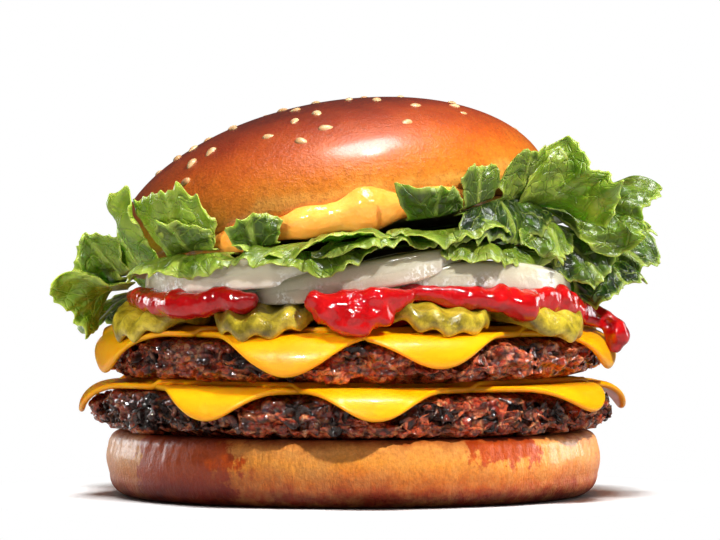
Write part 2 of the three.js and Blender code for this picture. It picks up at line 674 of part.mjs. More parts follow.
const keepOut = (geometry) => new THREE.Mesh(geometry);
const cheeseRoom = cheese("", UPPER_PATTY, UPPER_SLICES, GAP);
const pickleRooms = PICKLE_PLACES.map((place) =>
  placePickle(keepOut(pickleGeometry(place, GAP + PICKLE.ridge)), place),
);
PICKLE_PLACES.forEach((place, index) => {
  const slice = named(`pickle_${index + 1}`, pickleGeometry(place), PICKLE_GREEN);
  const earlier = pickleRooms.slice(0, index);
  burger.add(clearOf(placePickle(slice, place), [cheeseRoom, ...earlier], 0.1));
});

const onionRooms = ONION_PLACES.map((place) => keepOut(onionGeometry(place, GAP)));
ONION_PLACES.forEach((place, index) => {
  const slice = named(`onion_${index + 1}`, onionGeometry(place), ONION);
  burger.add(clearOf(slice, [...pickleRooms, ...onionRooms.slice(0, index)], 0.28));
});

const ketchupMesh = clearOf(ketchup(), [...pickleRooms, ...onionRooms], 0.35);
ketchupMesh.geometry = geometryOf(solidOf(ketchupMesh.geometry).add(solidOf(ketchupDrip())));
burger.add(clearOf(ketchupMesh, [cheeseRoom], 0.25));

function placeWithCrown(mesh) {
  mesh.position.set(CROWN_PLACE.x, CROWN_PLACE.y, CROWN_PLACE.z);
  mesh.rotation.set(-radians(CROWN_PLACE.frontTilt), -radians(CROWN_PLACE.sideTilt), 0);
  return mesh;
}
const crownRoom = placeWithCrown(keepOut(crownGeometry(GAP)));
burger.add(placeWithCrown(seededCrown()));
burger.add(clearOf(placeWithCrown(named("sauce", sauceGeometry(), SAUCE)), [crownRoom], 0.12));

const sauceRoom = placeWithCrown(keepOut(sauceGeometry(GAP)));
const taken = [crownRoom, sauceRoom, ...onionRooms];
INNER_LEVELS.forEach((_, index) => {
  const mesh = named(`lettuce_inner_${index + 1}`, innerLeafGeometry(index + 1), LETTUCE);
  burger.add(clearOf(mesh, taken, LEAF_SLACK));
  taken.push(keepOut(innerLeafGeometry(index + 1, GAP)));
});
LEAVES.forEach((place, index) => {
  const name = `lettuce_${String(index + 1).padStart(2, "0")}`;
  const mesh = named(name, leafGeometry(place, index + 1), LETTUCE);
  burger.add(clearOf(mesh, taken, LEAF_SLACK));
  taken.push(keepOut(leafGeometry(place, index + 1, LEAF_GAP)), mesh);
});

export default burger;
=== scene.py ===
# %% [markdown]
# # A double cheeseburger
# The burger is a stack: heel, two grilled patties under melted cheese, pickles, ketchup, onion,
# lettuce, sauce and a seeded crown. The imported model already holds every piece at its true
# place and size, as plain faceted solids. This lesson gives each of them its real surface.
# One could sculpt them, but nearly every piece follows a rule: bread and meat are turned
# shapes, cheese drapes, leaves ruffle. So the rules are written down once more, at a finer
# grain, and the pieces land exactly where the plain solids are.

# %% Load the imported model
import math

import bmesh
import bpy
import numpy as np
from mathutils import Euler, Matrix


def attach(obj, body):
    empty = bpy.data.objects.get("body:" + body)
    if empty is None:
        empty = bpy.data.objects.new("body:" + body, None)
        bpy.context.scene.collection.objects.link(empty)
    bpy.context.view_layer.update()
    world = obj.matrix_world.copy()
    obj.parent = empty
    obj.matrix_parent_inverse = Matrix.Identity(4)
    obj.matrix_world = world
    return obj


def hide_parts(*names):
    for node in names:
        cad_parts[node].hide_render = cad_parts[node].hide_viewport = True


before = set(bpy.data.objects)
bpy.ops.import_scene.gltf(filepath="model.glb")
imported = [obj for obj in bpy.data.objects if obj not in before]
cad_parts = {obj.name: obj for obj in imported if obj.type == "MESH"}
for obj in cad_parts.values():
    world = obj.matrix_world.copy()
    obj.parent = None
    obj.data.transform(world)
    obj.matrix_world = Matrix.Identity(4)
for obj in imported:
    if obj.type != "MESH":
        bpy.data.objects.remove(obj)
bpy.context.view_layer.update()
print("plain solids:", len(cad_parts))

# %% [markdown]
# ## Two habits of this script
# Many objects are linked to the scene, and many shader nodes are added and joined. Both take a
# few lines each time in Blender's own words, so they are wrapped once, here. The camera and the
# lamps are placed in Blender's metres. The food is worked out in millimetres, which turn into
# metres where a mesh is made.

# %% Helpers for objects and node trees
MM = 0.001


def add_object(name, data):
    added = bpy.data.objects.new(name, data)
    bpy.context.scene.collection.objects.link(added)
    return added


class Nodes:
    """Adds nodes to a tree. An input is a value or another node's output."""

    def __init__(self, tree):
        self.tree = tree

    def wire(self, node, inputs):
        for key, value in inputs.items():
            if isinstance(value, bpy.types.NodeSocket):
                self.tree.links.new(value, node.inputs[key])
            else:
                node.inputs[key].default_value = value
        return node

    def node(self, kind, inputs=None, **settings):
        node = self.tree.nodes.new(kind)
        for key, value in settings.items():
            setattr(node, key, value)
        return self.wire(node, inputs or {})

    def math(self, operation, a, b=0.0, c=0.0):
        return self.node("ShaderNodeMath", {0: a, 1: b, 2: c}, operation=operation).outputs[0]

    def voronoi(self, place, scale, feature="F1", **settings):
        inputs = {"Vector": place, "Scale": scale, **settings}
        return self.node("ShaderNodeTexVoronoi", inputs, feature=feature).outputs


def unit(vectors):
    return vectors / np.linalg.norm(vectors, axis=-1, keepdims=True)


print("one millimetre is", MM, "m in Blender")

# %% [markdown]
# ## Camera, floor and light
# The burger is seen from the front, from just above the table, through a long lens, so that its
# layers read as flat bands. One small warm lamp, high in front and to the right, gives crisp
# shadows, and weak wide ones fill them. Two lamps behind the burger graze both sides, which is
# what makes wet food glisten. Some lamps only light, and some are only mirrored by wet faces.

# %% Camera
LENS_DISTANCE = 1.0
CAMERA_HEIGHT = 0.062
LOOK_AT_HEIGHT = 0.0532
FOCAL_MM, SENSOR_MM = 210.5, 36
camera_data = bpy.data.cameras.new("camera")
camera_data.lens = FOCAL_MM
camera_data.sensor_width = SENSOR_MM
camera = add_object("camera", camera_data)
bpy.context.scene.camera = camera
camera.location = (0.0019, -LENS_DISTANCE, CAMERA_HEIGHT)
look_down = math.atan2(CAMERA_HEIGHT - LOOK_AT_HEIGHT, LENS_DISTANCE)
camera.rotation_euler = (math.pi / 2 - look_down, 0, 0)
print("camera looks down by degrees:", round(math.degrees(look_down), 2))

# %% Lamps: place, sides in m, watts, colour, whether they light and whether faces mirror them
WHITE, WARM, COOL = (1, 1, 1), (1, 0.97, 0.92), (0.95, 0.98, 1)
LAMPS = {
    "key": ((0.5, -0.47, 0.73), (0.035, 0.035), 13.0, (1, 0.96, 0.9), True, False),
    "glint": ((0.1, -0.2, 0.9), (0.05, 0.05), 2.0, WHITE, True, True),
    "top": ((0.02, -0.06, 0.72), (0.34, 0.16), 1.3, WHITE, True, False),
    "sheen": ((0.03, -0.06, 0.72), (0.24, 0.18), 3.2, WHITE, False, True),
    "fill": ((-0.4, -0.95, 0.2), (0.8, 0.5), 0.55, (1, 0.95, 0.9), True, False),
    "left_rim": ((-0.52, 0.42, 0.2), (0.32, 0.34), 2.4, COOL, True, True),
    "right_rim": ((0.58, 0.26, 0.2), (0.32, 0.34), 2.6, COOL, True, True),
    "sparkle": ((0.3, -0.62, 0.6), (0.05, 0.05), 7.0, WHITE, False, True),
    "left_sparkle": ((-0.3, -0.7, 0.45), (0.05, 0.05), 9.0, (1, 0.95, 0.92), False, True),
    "low_lamp": ((-0.5, -0.8, 0.12), (0.1, 0.1), 3.5, WARM, True, False),
    "side_lamp": ((-0.5, -0.72, 0.5), (0.06, 0.06), 6.0, WARM, True, False),
    "floor_lamp": ((-0.02, -0.12, 0.9), (0.45, 0.45), 17.0, WHITE, True, False),
}
MIDDLE = (0, 0, 0.05)


def lamp(name, place, sides, watts, color, lights, mirrored):
    """A flat rectangular lamp that faces the middle of the burger."""
    data = bpy.data.lights.new(name, "AREA")
    data.shape = "RECTANGLE"
    data.size, data.size_y = sides
    data.energy = watts
    data.color = color
    light = add_object(name, data)
    light.location = place
    z = unit(np.array(place) - np.array(MIDDLE))
    x = unit(np.cross((0, 0, 1), z))
    light.rotation_euler = Matrix((x, np.cross(z, x), z)).transposed().to_euler()
    light.visible_diffuse = light.visible_transmission = lights
    light.visible_glossy = mirrored
    return light


lamps = {name: lamp(name, *settings) for name, settings in LAMPS.items()}
print("lamps:", len(lamps))

# %% The pale surroundings
AMBIENT, AMBIENT_IN_MIRRORS = 0.14, 0.05
world = bpy.data.worlds.new("surroundings")
bpy.context.scene.world = world
world.use_nodes = True
sky = Nodes(world.node_tree)
ray = sky.node("ShaderNodeLightPath").outputs
dimmed = sky.node("ShaderNodeMapRange", {
    "Value": ray["Is Glossy Ray"], "To Min": AMBIENT, "To Max": AMBIENT_IN_MIRRORS,
}).outputs["Result"]
ambient = sky.wire(sky.tree.nodes["Background"], {"Color": (1, 0.95, 0.9, 1), "Strength": dimmed})
seen = sky.node("ShaderNodeBackground", {"Color": (1, 1, 1, 1), "Strength": 1.0})
choose = sky.node("ShaderNodeMixShader", {
    0: ray["Is Camera Ray"], 1: ambient.outputs[0], 2: seen.outputs[0],
})
sky.wire(sky.tree.nodes["World Output"], {"Surface": choose.outputs[0]})
bpy.context.scene.view_settings.view_transform = "Standard"
print("surroundings nodes:", len(sky.tree.nodes))

# %% [markdown]
# ## Numbers that the whole stack shares
# These are the driving sizes of the plain solids, in millimetres: radius, height and the seed
# of each uneven outline. Everything below is worked out from them.

# %% Driving sizes
GAP = 0.35
HEEL = {"radius": 58.4, "height": 15.4, "foot": 5.2, "top": 3.2, "seed": 5}
LOWER_PATTY = {"radius": 62.9, "base": 15.75, "height": 9.5, "rim": 5.6, "seed": 21}
CHEESE_THICKNESS = 2.4
LAYER_STEP = LOWER_PATTY["height"] + 2 * GAP + CHEESE_THICKNESS
UPPER_PATTY = {
    "radius": 60.7, "base": LOWER_PATTY["base"] + LAYER_STEP, "height": 9.3, "rim": 5.6, "seed": 34,
}
CRAG_DEPTH = 3.6
CHEESE_TOP = UPPER_PATTY["base"] + UPPER_PATTY["height"] + GAP + CHEESE_THICKNESS
CROWN = {"radius": 52.3, "rise": 27.6, "lip": 3.7, "seed": 11}
CROWN_PLACE = {"x": -4.2, "y": 0.0, "z": 64.9, "side_tilt": 10.9, "front_tilt": 6.0}
SEED = {
    "count": 56, "length": 3.5, "width": 2.3, "thickness": 1.7,
    "edge": 0.9, "sunk": 0.4, "seed": 195,
}
TAU = 2 * math.pi
print("top of the upper cheese:", round(CHEESE_TOP, 2), "mm")


# %% Repeatable chance
def wrap32(value):
    return value & 0xFFFFFFFF


def seeded_random(seed):
    """The same small generator as in the solids' source, so that both draw the same numbers."""
    state = wrap32(seed)
    while True:
        state = wrap32(state + 0x6D2B79F5)
        value = wrap32((state ^ (state >> 15)) * (1 | state))
        value = wrap32(value + wrap32((value ^ (value >> 7)) * (61 | value))) ^ value
        yield (value ^ (value >> 14)) / 2**32


def unevenness(seed, size, orders):
    """A closed uneven outline: a few waves round the full circle."""
    draw = seeded_random(seed)
    waves = []
    for order in orders:
        phase = next(draw) * TAU
        waves.append((order, phase, 0.5 + next(draw)))

    def outline(angle):
        return sum(part * size * np.sin(order * angle + phase) / order
                   for order, phase, part in waves)

    return outline


print("first random number of seed 1:", round(next(seeded_random(1)), 3))


# %% Smooth noise
def lattice_value(i, j, k):
    hashed = wrap32((i * 374761393) ^ (j * 668265263) ^ (k * 2147483647))
    hashed = wrap32((hashed ^ (hashed >> 13)) * 1274126177)
    return wrap32(hashed ^ (hashed >> 16)) / 2**32


def smooth_noise(x, y, z):
    """Lattice noise between 0 and 1."""
    cells, fades = [], []
    for value in np.broadcast_arrays(x, y, z):
        cell = np.floor(value)
        t = value - cell
        cells.append(wrap32(cell.astype(np.int64)))
        fades.append(t * t * t * (t * (t * 6 - 15) + 10))
    total = 0
    for corner in range(8):
        step = [corner & 1, (corner >> 1) & 1, (corner >> 2) & 1]
        weight = 1
        for fade, s in zip(fades, step):
            weight = weight * (fade if s else 1 - fade)
        total = total + weight * lattice_value(*(wrap32(cell + s) for cell, s in zip(cells, step)))
    return total


def smooth_step(value, low, high):
    t = np.clip((value - low) / (high - low), 0, 1)
    return t * t * (3 - 2 * t)


print("noise in the middle of a cell:", round(float(smooth_noise(0.5, 0.5, 0.5)), 3))


# %% Angles round the stack
def full_circle(sides):
    return np.linspace(0, TAU, sides, endpoint=False)


def turned(angle, towards):
    """The angle measured from a direction given in degrees, between -pi and pi."""
    offset = angle - math.radians(towards)
    return np.arctan2(np.sin(offset), np.cos(offset))


def polar(radius, angle, z):
    return np.stack(np.broadcast_arrays(radius * np.cos(angle), radius * np.sin(angle), z), axis=-1)


print("1 mm at 45 degrees:", polar(1, TAU / 8, 0).round(3))


# %% Meshes from grids of points
def shape(name, points_mm, faces):
    """Makes a mesh object from points in millimetres, in the burger's frame."""
    mesh = bpy.data.meshes.new(name)
    mesh.from_pydata((np.asarray(points_mm) * MM).tolist(), [], faces)
    mesh.shade_smooth()
    return add_object(name, mesh)


def closed_rings(rings):
    """Points and faces of a closed solid through equal rings, with a fan over each end."""
    rows, sides = rings.shape[:2]
    ends = [rings[0].mean(0), rings[-1].mean(0)]
    points = np.concatenate([rings.reshape(-1, 3), ends])
    row, side = np.meshgrid(np.arange(rows - 1), np.arange(sides), indexing="ij")
    a, b = row * sides + side, row * sides + (side + 1) % sides
    quads = np.stack([a, b, b + sides, a + sides], -1).reshape(-1, 4).tolist()
    last = (rows - 1) * sides
    bottom, top = rows * sides, rows * sides + 1
    fans = [[(s + 1) % sides, s, bottom] for s in range(sides)]
    fans += [[last + s, last + (s + 1) % sides, top] for s in range(sides)]
    return points, quads + fans


def round_rows(angles, rows):
    """Rings from [radius, z] rows, where either can differ from angle to angle."""
    return np.stack([polar(radius, angles, z) for radius, z in rows])


def store(piece, name, values, *ends):
    """Keeps a number per point, for a material to read: those of the rings, then the two ends."""
    layer = piece.data.attributes.new(name, "FLOAT", "POINT")
    layer.data.foreach_set("value", np.append(values, ends).astype(np.float32))


print("points of a closed pair of squares:", len(closed_rings(np.zeros((2, 4, 3)))[0]))


# %% Pieces of the finished burger
def dress(piece, finish, node):
    """Gives a piece its material, hangs it under the root and hides the plain solid that it stands
    for.
    """
    piece.data.materials.clear()
    piece.data.materials.append(finish.material)
    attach(piece, "root")
    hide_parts(node)
    print(piece.name, "faces:", len(piece.data.polygons))
    return piece


def ring_piece(name, rings, finish, node):
    return dress(shape(name, *closed_rings(rings)), finish, node)


def table(labels, rows):
    """Rows of numbers as dictionaries, by the labels of their columns."""
    return [dict(zip(labels.split(), row)) for row in rows]


print("a table row:", table("radius height", [(1.0, 2.0)])[0])

# %% [markdown]
# ## A kit for materials
# Food is never one colour. Each finish below is a Principled shader whose colour, roughness and
# bump come from a few noises. The small class only saves typing: it adds nodes, joins them and
# keeps every pattern on object coordinates, so that it stays put from all sides.


# %% Material helper
def linear(value):
    """A channel of an sRGB colour, from 0 to 255, as Blender's linear light."""
    value = value / 255
    return value / 12.92 if value <= 0.04045 else ((value + 0.055) / 1.055) ** 2.4


class Finish(Nodes):
    def __init__(self, name, **sockets):
        self.material = bpy.data.materials.new(name)
        self.material.use_nodes = True
        super().__init__(self.material.node_tree)
        self.place = self.node("ShaderNodeTexCoord").outputs["Object"]
        self.relief = None
        self.surface({socket.replace("_", " "): value for socket, value in sockets.items()})
        print("material:", name)

    def surface(self, inputs):
        self.wire(self.tree.nodes["Principled BSDF"], inputs)

    def stretched(self, x, y, z):
        return self.node("ShaderNodeMapping", {"Vector": self.place, "Scale": (x, y, z)}).outputs[0]

    def noise(self, size_mm, detail=3, rough=0.55, place=None, warp=0):
        inputs = {
            "Vector": place or self.place, "Scale": 1000 / size_mm,
            "Detail": detail, "Roughness": rough, "Distortion": warp,
        }
        return self.node("ShaderNodeTexNoise", inputs).outputs["Fac"]

    def stored(self, name):
        return self.node("ShaderNodeAttribute", attribute_name=name).outputs["Fac"]

    def times(self, a, b):
        return self.math("MULTIPLY", a, b)

    def plus(self, a, b):
        return self.math("ADD", a, b)

    def minus(self, a, b):
        return self.math("SUBTRACT", a, b)

    def spread(self, value, low, high, to_low=0.0, to_high=1.0):
        inputs = {0: value, 1: low, 2: high, 3: to_low, 4: to_high}
        return self.node("ShaderNodeMapRange", inputs, interpolation_type="SMOOTHSTEP").outputs[0]

    def ramp(self, value, *stops):
        """A colour ramp. Each stop is a place and an sRGB colour from 0 to 255."""
        node = self.node("ShaderNodeValToRGB", {"Fac": value})
        elements = node.color_ramp.elements
        while len(elements) < len(stops):
            elements.new(0.5)
        for element, (place, color) in zip(elements, stops):
            element.position = place
            element.color = (*map(linear, color), 1)
        return node.outputs["Color"]

    def mix(self, share, a, b, blend="MIX"):
        """A share of b over a. A colour is an output, or sRGB from 0 to 255."""
        a, b = ((*map(linear, c), 1) if isinstance(c, tuple) else c for c in (a, b))
        node = self.node("ShaderNodeMix", data_type="RGBA", blend_type=blend)
        factor, color_a, color_b, color_out = 0, 6, 7, 2
        self.wire(node, {factor: share, color_a: a, color_b: b})
        return node.outputs[color_out]

    def bump(self, value, depth_mm, strength=1.0):
        """Adds relief of a depth to what is there."""
        inputs = {"Height": value, "Distance": depth_mm * MM, "Strength": strength}
        if self.relief is not None:
            inputs["Normal"] = self.relief
        self.relief = self.node("ShaderNodeBump", inputs).outputs["Normal"]
        self.surface({"Normal": self.relief})


print("sRGB 188 as linear light:", round(linear(188), 3))

# %% [markdown]
# ## The heel
# The lower half of the bun is a low round cushion of bread. Its skin is golden in the middle of
# the side, darker where it touched the tin, and finely wrinkled near the cut edge, where the
# weight on top presses the crumb. It is a turned shape, so one profile swept round an uneven
# outline is enough, and the wrinkles are low relief on top.

# %% Bread crust
heel_crust = Finish(
    "heel_crust", Roughness=0.5, Coat_Weight=0.3, Coat_Roughness=0.2,
    Subsurface_Weight=0.08, Subsurface_Scale=0.0015,
)
level = heel_crust.stored("level")
shade = heel_crust.plus(level, heel_crust.spread(heel_crust.noise(7, 5), 0.25, 0.75, -0.08, 0.08))
# The ramp darkens again at the very top: painted shade under the patty.
heel_color = heel_crust.ramp(
    shade, (0.0, (98, 11, 0)), (0.12, (130, 25, 2)), (0.26, (182, 68, 12)), (0.42, (224, 120, 30)),
    (0.66, (240, 156, 58)), (0.86, (238, 158, 74)), (1.0, (170, 88, 36)),
)
pores = heel_crust.spread(heel_crust.noise(0.8, 4, 0.65), 0.38, 0.62)
blotch = heel_crust.spread(heel_crust.noise(3.0, 4, 0.6), 0.38, 0.7)
heel_color = heel_crust.mix(heel_crust.times(pores, 0.3), heel_color, (150, 72, 26))
heel_color = heel_crust.mix(heel_crust.times(blotch, 0.25), heel_color, (236, 172, 96))
# Painted shade on both sides of the heel's front, and browned crust patches elsewhere, multiplied
# into the colour.
ragged = heel_crust.spread(heel_crust.noise(4, 4, 0.65), 0.3, 0.7, -0.35, 0.35)
browned = heel_crust.spread(heel_crust.plus(heel_crust.stored("browned"), ragged), 0.35, 0.65)
heel_color = heel_crust.mix(browned, heel_color, (210, 134, 92), blend="MULTIPLY")
heel_crust.surface({"Base Color": heel_color})
streak = heel_crust.noise(0.9, 3, 0.6, place=heel_crust.stretched(1, 1, 0.35))
heel_crust.bump(heel_crust.noise(0.5, 4, 0.6), 0.14)
heel_crust.bump(streak, 0.3)
heel_crust.bump(heel_crust.noise(2.4, 3, 0.6), 0.25)

# %% Heel shape
# The relief is low in the flat middle and grows over the last millimetres of the radius.
angles = full_circle(512)
heel_outline = unevenness(HEEL["seed"], 0.7, [2, 3, 5])(angles)
heel_radius = HEEL["radius"] + heel_outline
foot, top, tall = HEEL["foot"], HEEL["top"], HEEL["height"]
rows = [(heel_radius * share, 0) for share in (0.4, 0.75)]
for turn in np.radians(np.linspace(0, 90, 14)):
    rows.append((heel_radius - foot * (1 - math.sin(turn)), foot * (1 - math.cos(turn))))
for share in np.linspace(0.38, 0.76, 16)[1:]:
    rows.append((heel_radius + 0.6 * math.sin(math.pi * (share - 0.34) / 0.46), tall * share))
for turn in np.radians(np.linspace(2, 90, 14)):
    drop = top * (1 - math.sin(turn))
    rows.append((heel_radius - top * (1 - math.cos(turn)), tall - drop))
rows += [(heel_radius * share, tall) for share in (0.75, 0.4)]
rings = round_rows(angles, rows)
x, y, z = np.moveaxis(rings, -1, 0)
levels = z / tall
side = smooth_step(np.hypot(x, y), 46, 56)
wrinkle = smooth_noise(angles * 34, levels * 3.2, 7.5) - 0.5
fine = smooth_noise(angles * 95, levels * 4.0, 2.5) - 0.5
dents = smooth_noise(x / 9, y / 9, z / 6) - 0.5
press = side * smooth_step(levels, 0.25, 0.9)
relief = (0.55 * wrinkle + 0.3 * fine) * press + 0.5 * dents * side * smooth_step(levels, 0.05, 0.3)
rings[..., :2] *= (1 + relief / 58)[..., None]
heel = ring_piece("bun_heel", rings, heel_crust, "heel")
store(heel, "level", levels, 0, 1)

# %% Painted shade and browned patches of the heel: direction and width in degrees, lowest level, how dark
# The two patches in front, at -132 and -53 degrees, are painted shade; the others are browned
# crust.
BROWNED = (
    (-132, 17, -1, 1), (-53, 11, 0.4, 0.9), (0, 14, 0.2, 0.45),
    (52, 20, -0.2, 0.5), (108, 20, 0, 0.45), (165, 16, -0.5, 0.5),
)
browned = 0 * levels
for azimuth, width, low, amount in BROWNED:
    patch = amount * np.exp(-((np.degrees(turned(angles, azimuth)) / width) ** 4))
    browned = np.maximum(browned, patch * smooth_step(levels, low, low + 0.4))
store(heel, "browned", browned, 0, 0)
print("share of the heel that is browned:", round(float(browned.mean()), 2))

# %% [markdown]
# ## Geometry Nodes, in script
# A node tree is a recipe that can be used again with other sizes, so it gets named inputs. The
# helper below builds trees with few words. Its result is turned into a plain mesh before the
# piece is handed on, since the finished model holds no live recipes.


# %% Geometry Nodes helper
class Recipe(Nodes):
    def __init__(self, name, **inputs):
        super().__init__(bpy.data.node_groups.new(name, "GeometryNodeTree"))
        face = self.tree.interface
        face.new_socket("Geometry", in_out="OUTPUT", socket_type="NodeSocketGeometry")
        face.new_socket("Geometry", in_out="INPUT", socket_type="NodeSocketGeometry")
        kinds = {float: "NodeSocketFloat", int: "NodeSocketInt", type(None): "NodeSocketMaterial"}
        for label, value in inputs.items():
            socket = face.new_socket(label, in_out="INPUT", socket_type=kinds[type(value)])
            if value is not None:
                socket.default_value = value
        self.given = self.tree.nodes.new("NodeGroupInput").outputs

    def vector(self, operation, a, b, socket=1):
        return self.node("ShaderNodeVectorMath", {0: a, socket: b}, operation=operation).outputs[0]

    def scaled(self, vector, scale):
        return self.vector("SCALE", vector, scale, socket="Scale")

    def named(self, name, kind="FLOAT"):
        reader = self.node("GeometryNodeInputNamedAttribute", {"Name": name}, data_type=kind)
        return reader.outputs["Attribute"]

    def keep(self, geometry, name, value):
        """Stores a value on each point, for a material to read."""
        inputs = {"Geometry": geometry, "Name": name, "Value": value}
        return self.node("GeometryNodeStoreNamedAttribute", inputs, data_type="FLOAT").outputs[0]

    def ends_in(self, geometry, material):
        real = self.node("GeometryNodeRealizeInstances", {"Geometry": geometry}).outputs[0]
        done = self.node("GeometryNodeSetMaterial", {"Geometry": real, "Material": material})
        self.node("NodeGroupOutput", {0: done.outputs[0]})
        print(self.tree.name, "recipe, nodes:", len(self.tree.nodes))


def freeze(piece):
    """Keeps what the piece's modifiers make as its plain mesh."""
    evaluated = piece.evaluated_get(bpy.context.evaluated_depsgraph_get())
    mesh = bpy.data.meshes.new_from_object(evaluated)
    piece.modifiers.clear()
    piece.data = mesh
    mesh.shade_smooth()


def cook(piece, recipe, **values):
    """Runs a recipe on a piece and keeps the result as a plain mesh."""
    modifier = piece.modifiers.new(recipe.tree.name, "NODES")
    modifier.node_group = recipe.tree
    for item in recipe.tree.interface.items_tree:
        if item.in_out == "INPUT" and item.name in values:
            modifier[item.identifier] = values[item.name]
    freeze(piece)


print("a recipe can:", ", ".join(word for word in dir(Recipe) if word[0] != "_"))

# %% [markdown]
# ## The patties
# Minced beef keeps the strands that came out of the mincer: lumps of 2 to 5 mm with deep
# crevices between them. The grill chars what stands out and fat glistens on it. The turned
# shape has the big crags of the plain solid; a recipe adds lumps, strands and cracks with
# Voronoi cells, whose distance fields look just like packed crumbs, and it stores how deep each
# point lies, so that the material can paint shade into the crevices.

# %% Recipe for minced meat
mince = Recipe(
    "mince", chunk_mm=11.5, chunk_depth=3.6, lump_mm=4.0, lump_depth=2.2, strand_mm=1.6,
    strand_depth=0.9, crack_depth=0.7, fine_depth=0.3, material=None,
)
given = mince.given
position = mince.node("GeometryNodeInputPosition").outputs[0]
swirl = mince.node("ShaderNodeTexNoise", {"Vector": position, "Scale": 190.0, "Detail": 2.0})
swirl = mince.vector("SUBTRACT", swirl.outputs["Color"], (0.5, 0.5, 0.5))
warped = mince.vector("ADD", position, mince.scaled(swirl, 0.005))
chunk_scale, lump_scale, strand_scale = (
    mince.math("DIVIDE", 1000.0, given[size]) for size in ("chunk_mm", "lump_mm", "strand_mm")
)
chunks = mince.voronoi(warped, chunk_scale, "SMOOTH_F1", Smoothness=0.2)
cracks = mince.voronoi(warped, chunk_scale, "DISTANCE_TO_EDGE")
lumps = mince.voronoi(warped, lump_scale, "SMOOTH_F1", Smoothness=0.3)
strands = mince.voronoi(warped, strand_scale)
fine_noise = mince.node("ShaderNodeTexNoise", {"Vector": position, "Scale": 1100.0, "Detail": 4.0})
crack = mince.node(
    "ShaderNodeMapRange", {0: cracks["Distance"], 1: 0.0, 2: 0.1, 3: 1.0, 4: 0.0},
    interpolation_type="SMOOTHSTEP",
).outputs[0]
sink = 0.0
for cells, depth in ((chunks, "chunk_depth"), (lumps, "lump_depth"), (strands, "strand_depth")):
    round_top = mince.math("POWER", cells["Distance"], 2.0)
    sink = mince.math("MULTIPLY_ADD", round_top, given[depth], sink)
sink = mince.math("MULTIPLY_ADD", crack, given["crack_depth"], sink)
sink = mince.math("MULTIPLY_ADD", fine_noise.outputs["Fac"], given["fine_depth"], sink)
sink = mince.math("MULTIPLY", sink, mince.named("side"))
inwards = mince.math("MULTIPLY_ADD", sink, -MM, 0.0011)
offset = mince.scaled(mince.node("GeometryNodeInputNormal").outputs[0], inwards)
kept = mince.keep(given["Geometry"], "sink", sink)
kept = mince.keep(kept, "tone", strands["Color"])
moved = mince.node("GeometryNodeSetPosition", {"Geometry": kept, "Offset": offset}).outputs[0]
mince.ends_in(moved, given["material"])

# %% Grilled beef
beef = Finish(
    "grilled_beef", Roughness=0.42, Coat_Weight=0.9, Coat_Roughness=0.1, Specular_IOR_Level=0.2,
)
meat = beef.ramp(
    beef.stored("tone"), (0.0, (160, 34, 16)), (0.4, (206, 72, 38)),
    (0.75, (240, 122, 74)), (1.0, (255, 190, 136)),
)
dark = beef.spread(beef.noise(1.0, 4, 0.7), 0.44, 0.66, 0, 0.7)
meat = beef.mix(dark, meat, (92, 16, 8))
crumbs = beef.spread(beef.noise(2.2, 4, 0.65, warp=1.0), 0.51, 0.63, 0, 0.75)
meat = beef.mix(crumbs, meat, (240, 176, 120))
char = beef.times(beef.spread(beef.noise(3.0, 5, 0.75), 0.61, 0.7), 0.55)
meat = beef.mix(char, meat, (34, 10, 6))
GRAIN_MM = 1.5
grains = beef.voronoi(beef.place, 1000 / GRAIN_MM)["Distance"]
# Painted shade in the gaps between the grains.
meat = beef.mix(beef.spread(grains, 0.45, 0.8, 0, 0.85), meat, (28, 5, 3))
# Painted shade: the deeper a point lies, the darker its colour.
crevice = beef.spread(beef.stored("sink"), 2.0, 3.5, 0, 0.95)
meat = beef.mix(crevice, meat, (18, 4, 3))
beef.surface({"Base Color": meat})
beef.surface({"Roughness": beef.spread(beef.noise(1.8, 3), 0.35, 0.6, 0.2, 0.6)})
beef.bump(beef.minus(1.0, grains), 0.7)
beef.bump(beef.noise(0.7, 5, 0.75), 0.5)
beef.bump(beef.noise(0.25, 2, 0.7), 0.12)


# %% Patty shape
def patty_outline(size):
    return unevenness(size["seed"], 1.3, [2, 3, 5, 7])


def patty(name, size):
    angles = full_circle(880)
    radius = size["radius"] + patty_outline(size)(angles)
    base, rim, half, seed = size["base"], size["rim"], size["height"] / 2, size["seed"]
    x, y = radius * np.cos(angles), radius * np.sin(angles)
    flat_shares = (0.45, 0.75, 0.88)
    rows = [((radius - rim) * share, base + 0.4) for share in flat_shares]
    near_flat, round_side = np.linspace(-90, -60, 8)[:-1], np.linspace(-60, 60, 52)
    degrees = np.concatenate([near_flat, round_side, np.linspace(60, 90, 8)[1:]])
    for degree in degrees:
        turn = math.radians(degree)
        flat = smooth_step(np.array(90 - abs(degree)), 0, 20) * 0.85 + 0.15
        z = base + degree / 9
        coarse = smooth_noise(x / 6, y / 6, z / 4 + seed)
        fine = smooth_noise(x / 3, y / 3, z / 2 + seed)
        cragged = smooth_step(0.6 * coarse + 0.4 * fine, 0.22, 0.78)
        crag = flat * (0.4 + (CRAG_DEPTH - 0.4) * cragged)
        rows.append((radius - rim + (rim - crag) * math.cos(turn),
                     base + half + (half - crag * 0.6) * math.sin(turn)))
    rows += [((radius - rim) * share, base + size["height"] - 0.4) for share in flat_shares[::-1]]
    masks = [0] * len(flat_shares) + [1] * len(degrees) + [0] * len(flat_shares)
    piece = shape("beef_" + name, *closed_rings(round_rows(angles, rows)))
    store(piece, "side", np.repeat(masks, len(angles)), 0, 0)
    cook(piece, mince, material=beef.material)
    dress(piece, beef, name)


patty("patty_lower", LOWER_PATTY)
patty("patty_upper", UPPER_PATTY)

# %% [markdown]
# ## The cheese
# Each layer is two square slices of processed cheese, laid crosswise. Melted, they hang over the
# edge of the beef in soft corners with a thick round rim. A cloth simulation would crumple
# them; melted cheese stretches instead. So every point of a slice is carried along the top of
# the patty and down its side by the distance that it has from the middle.

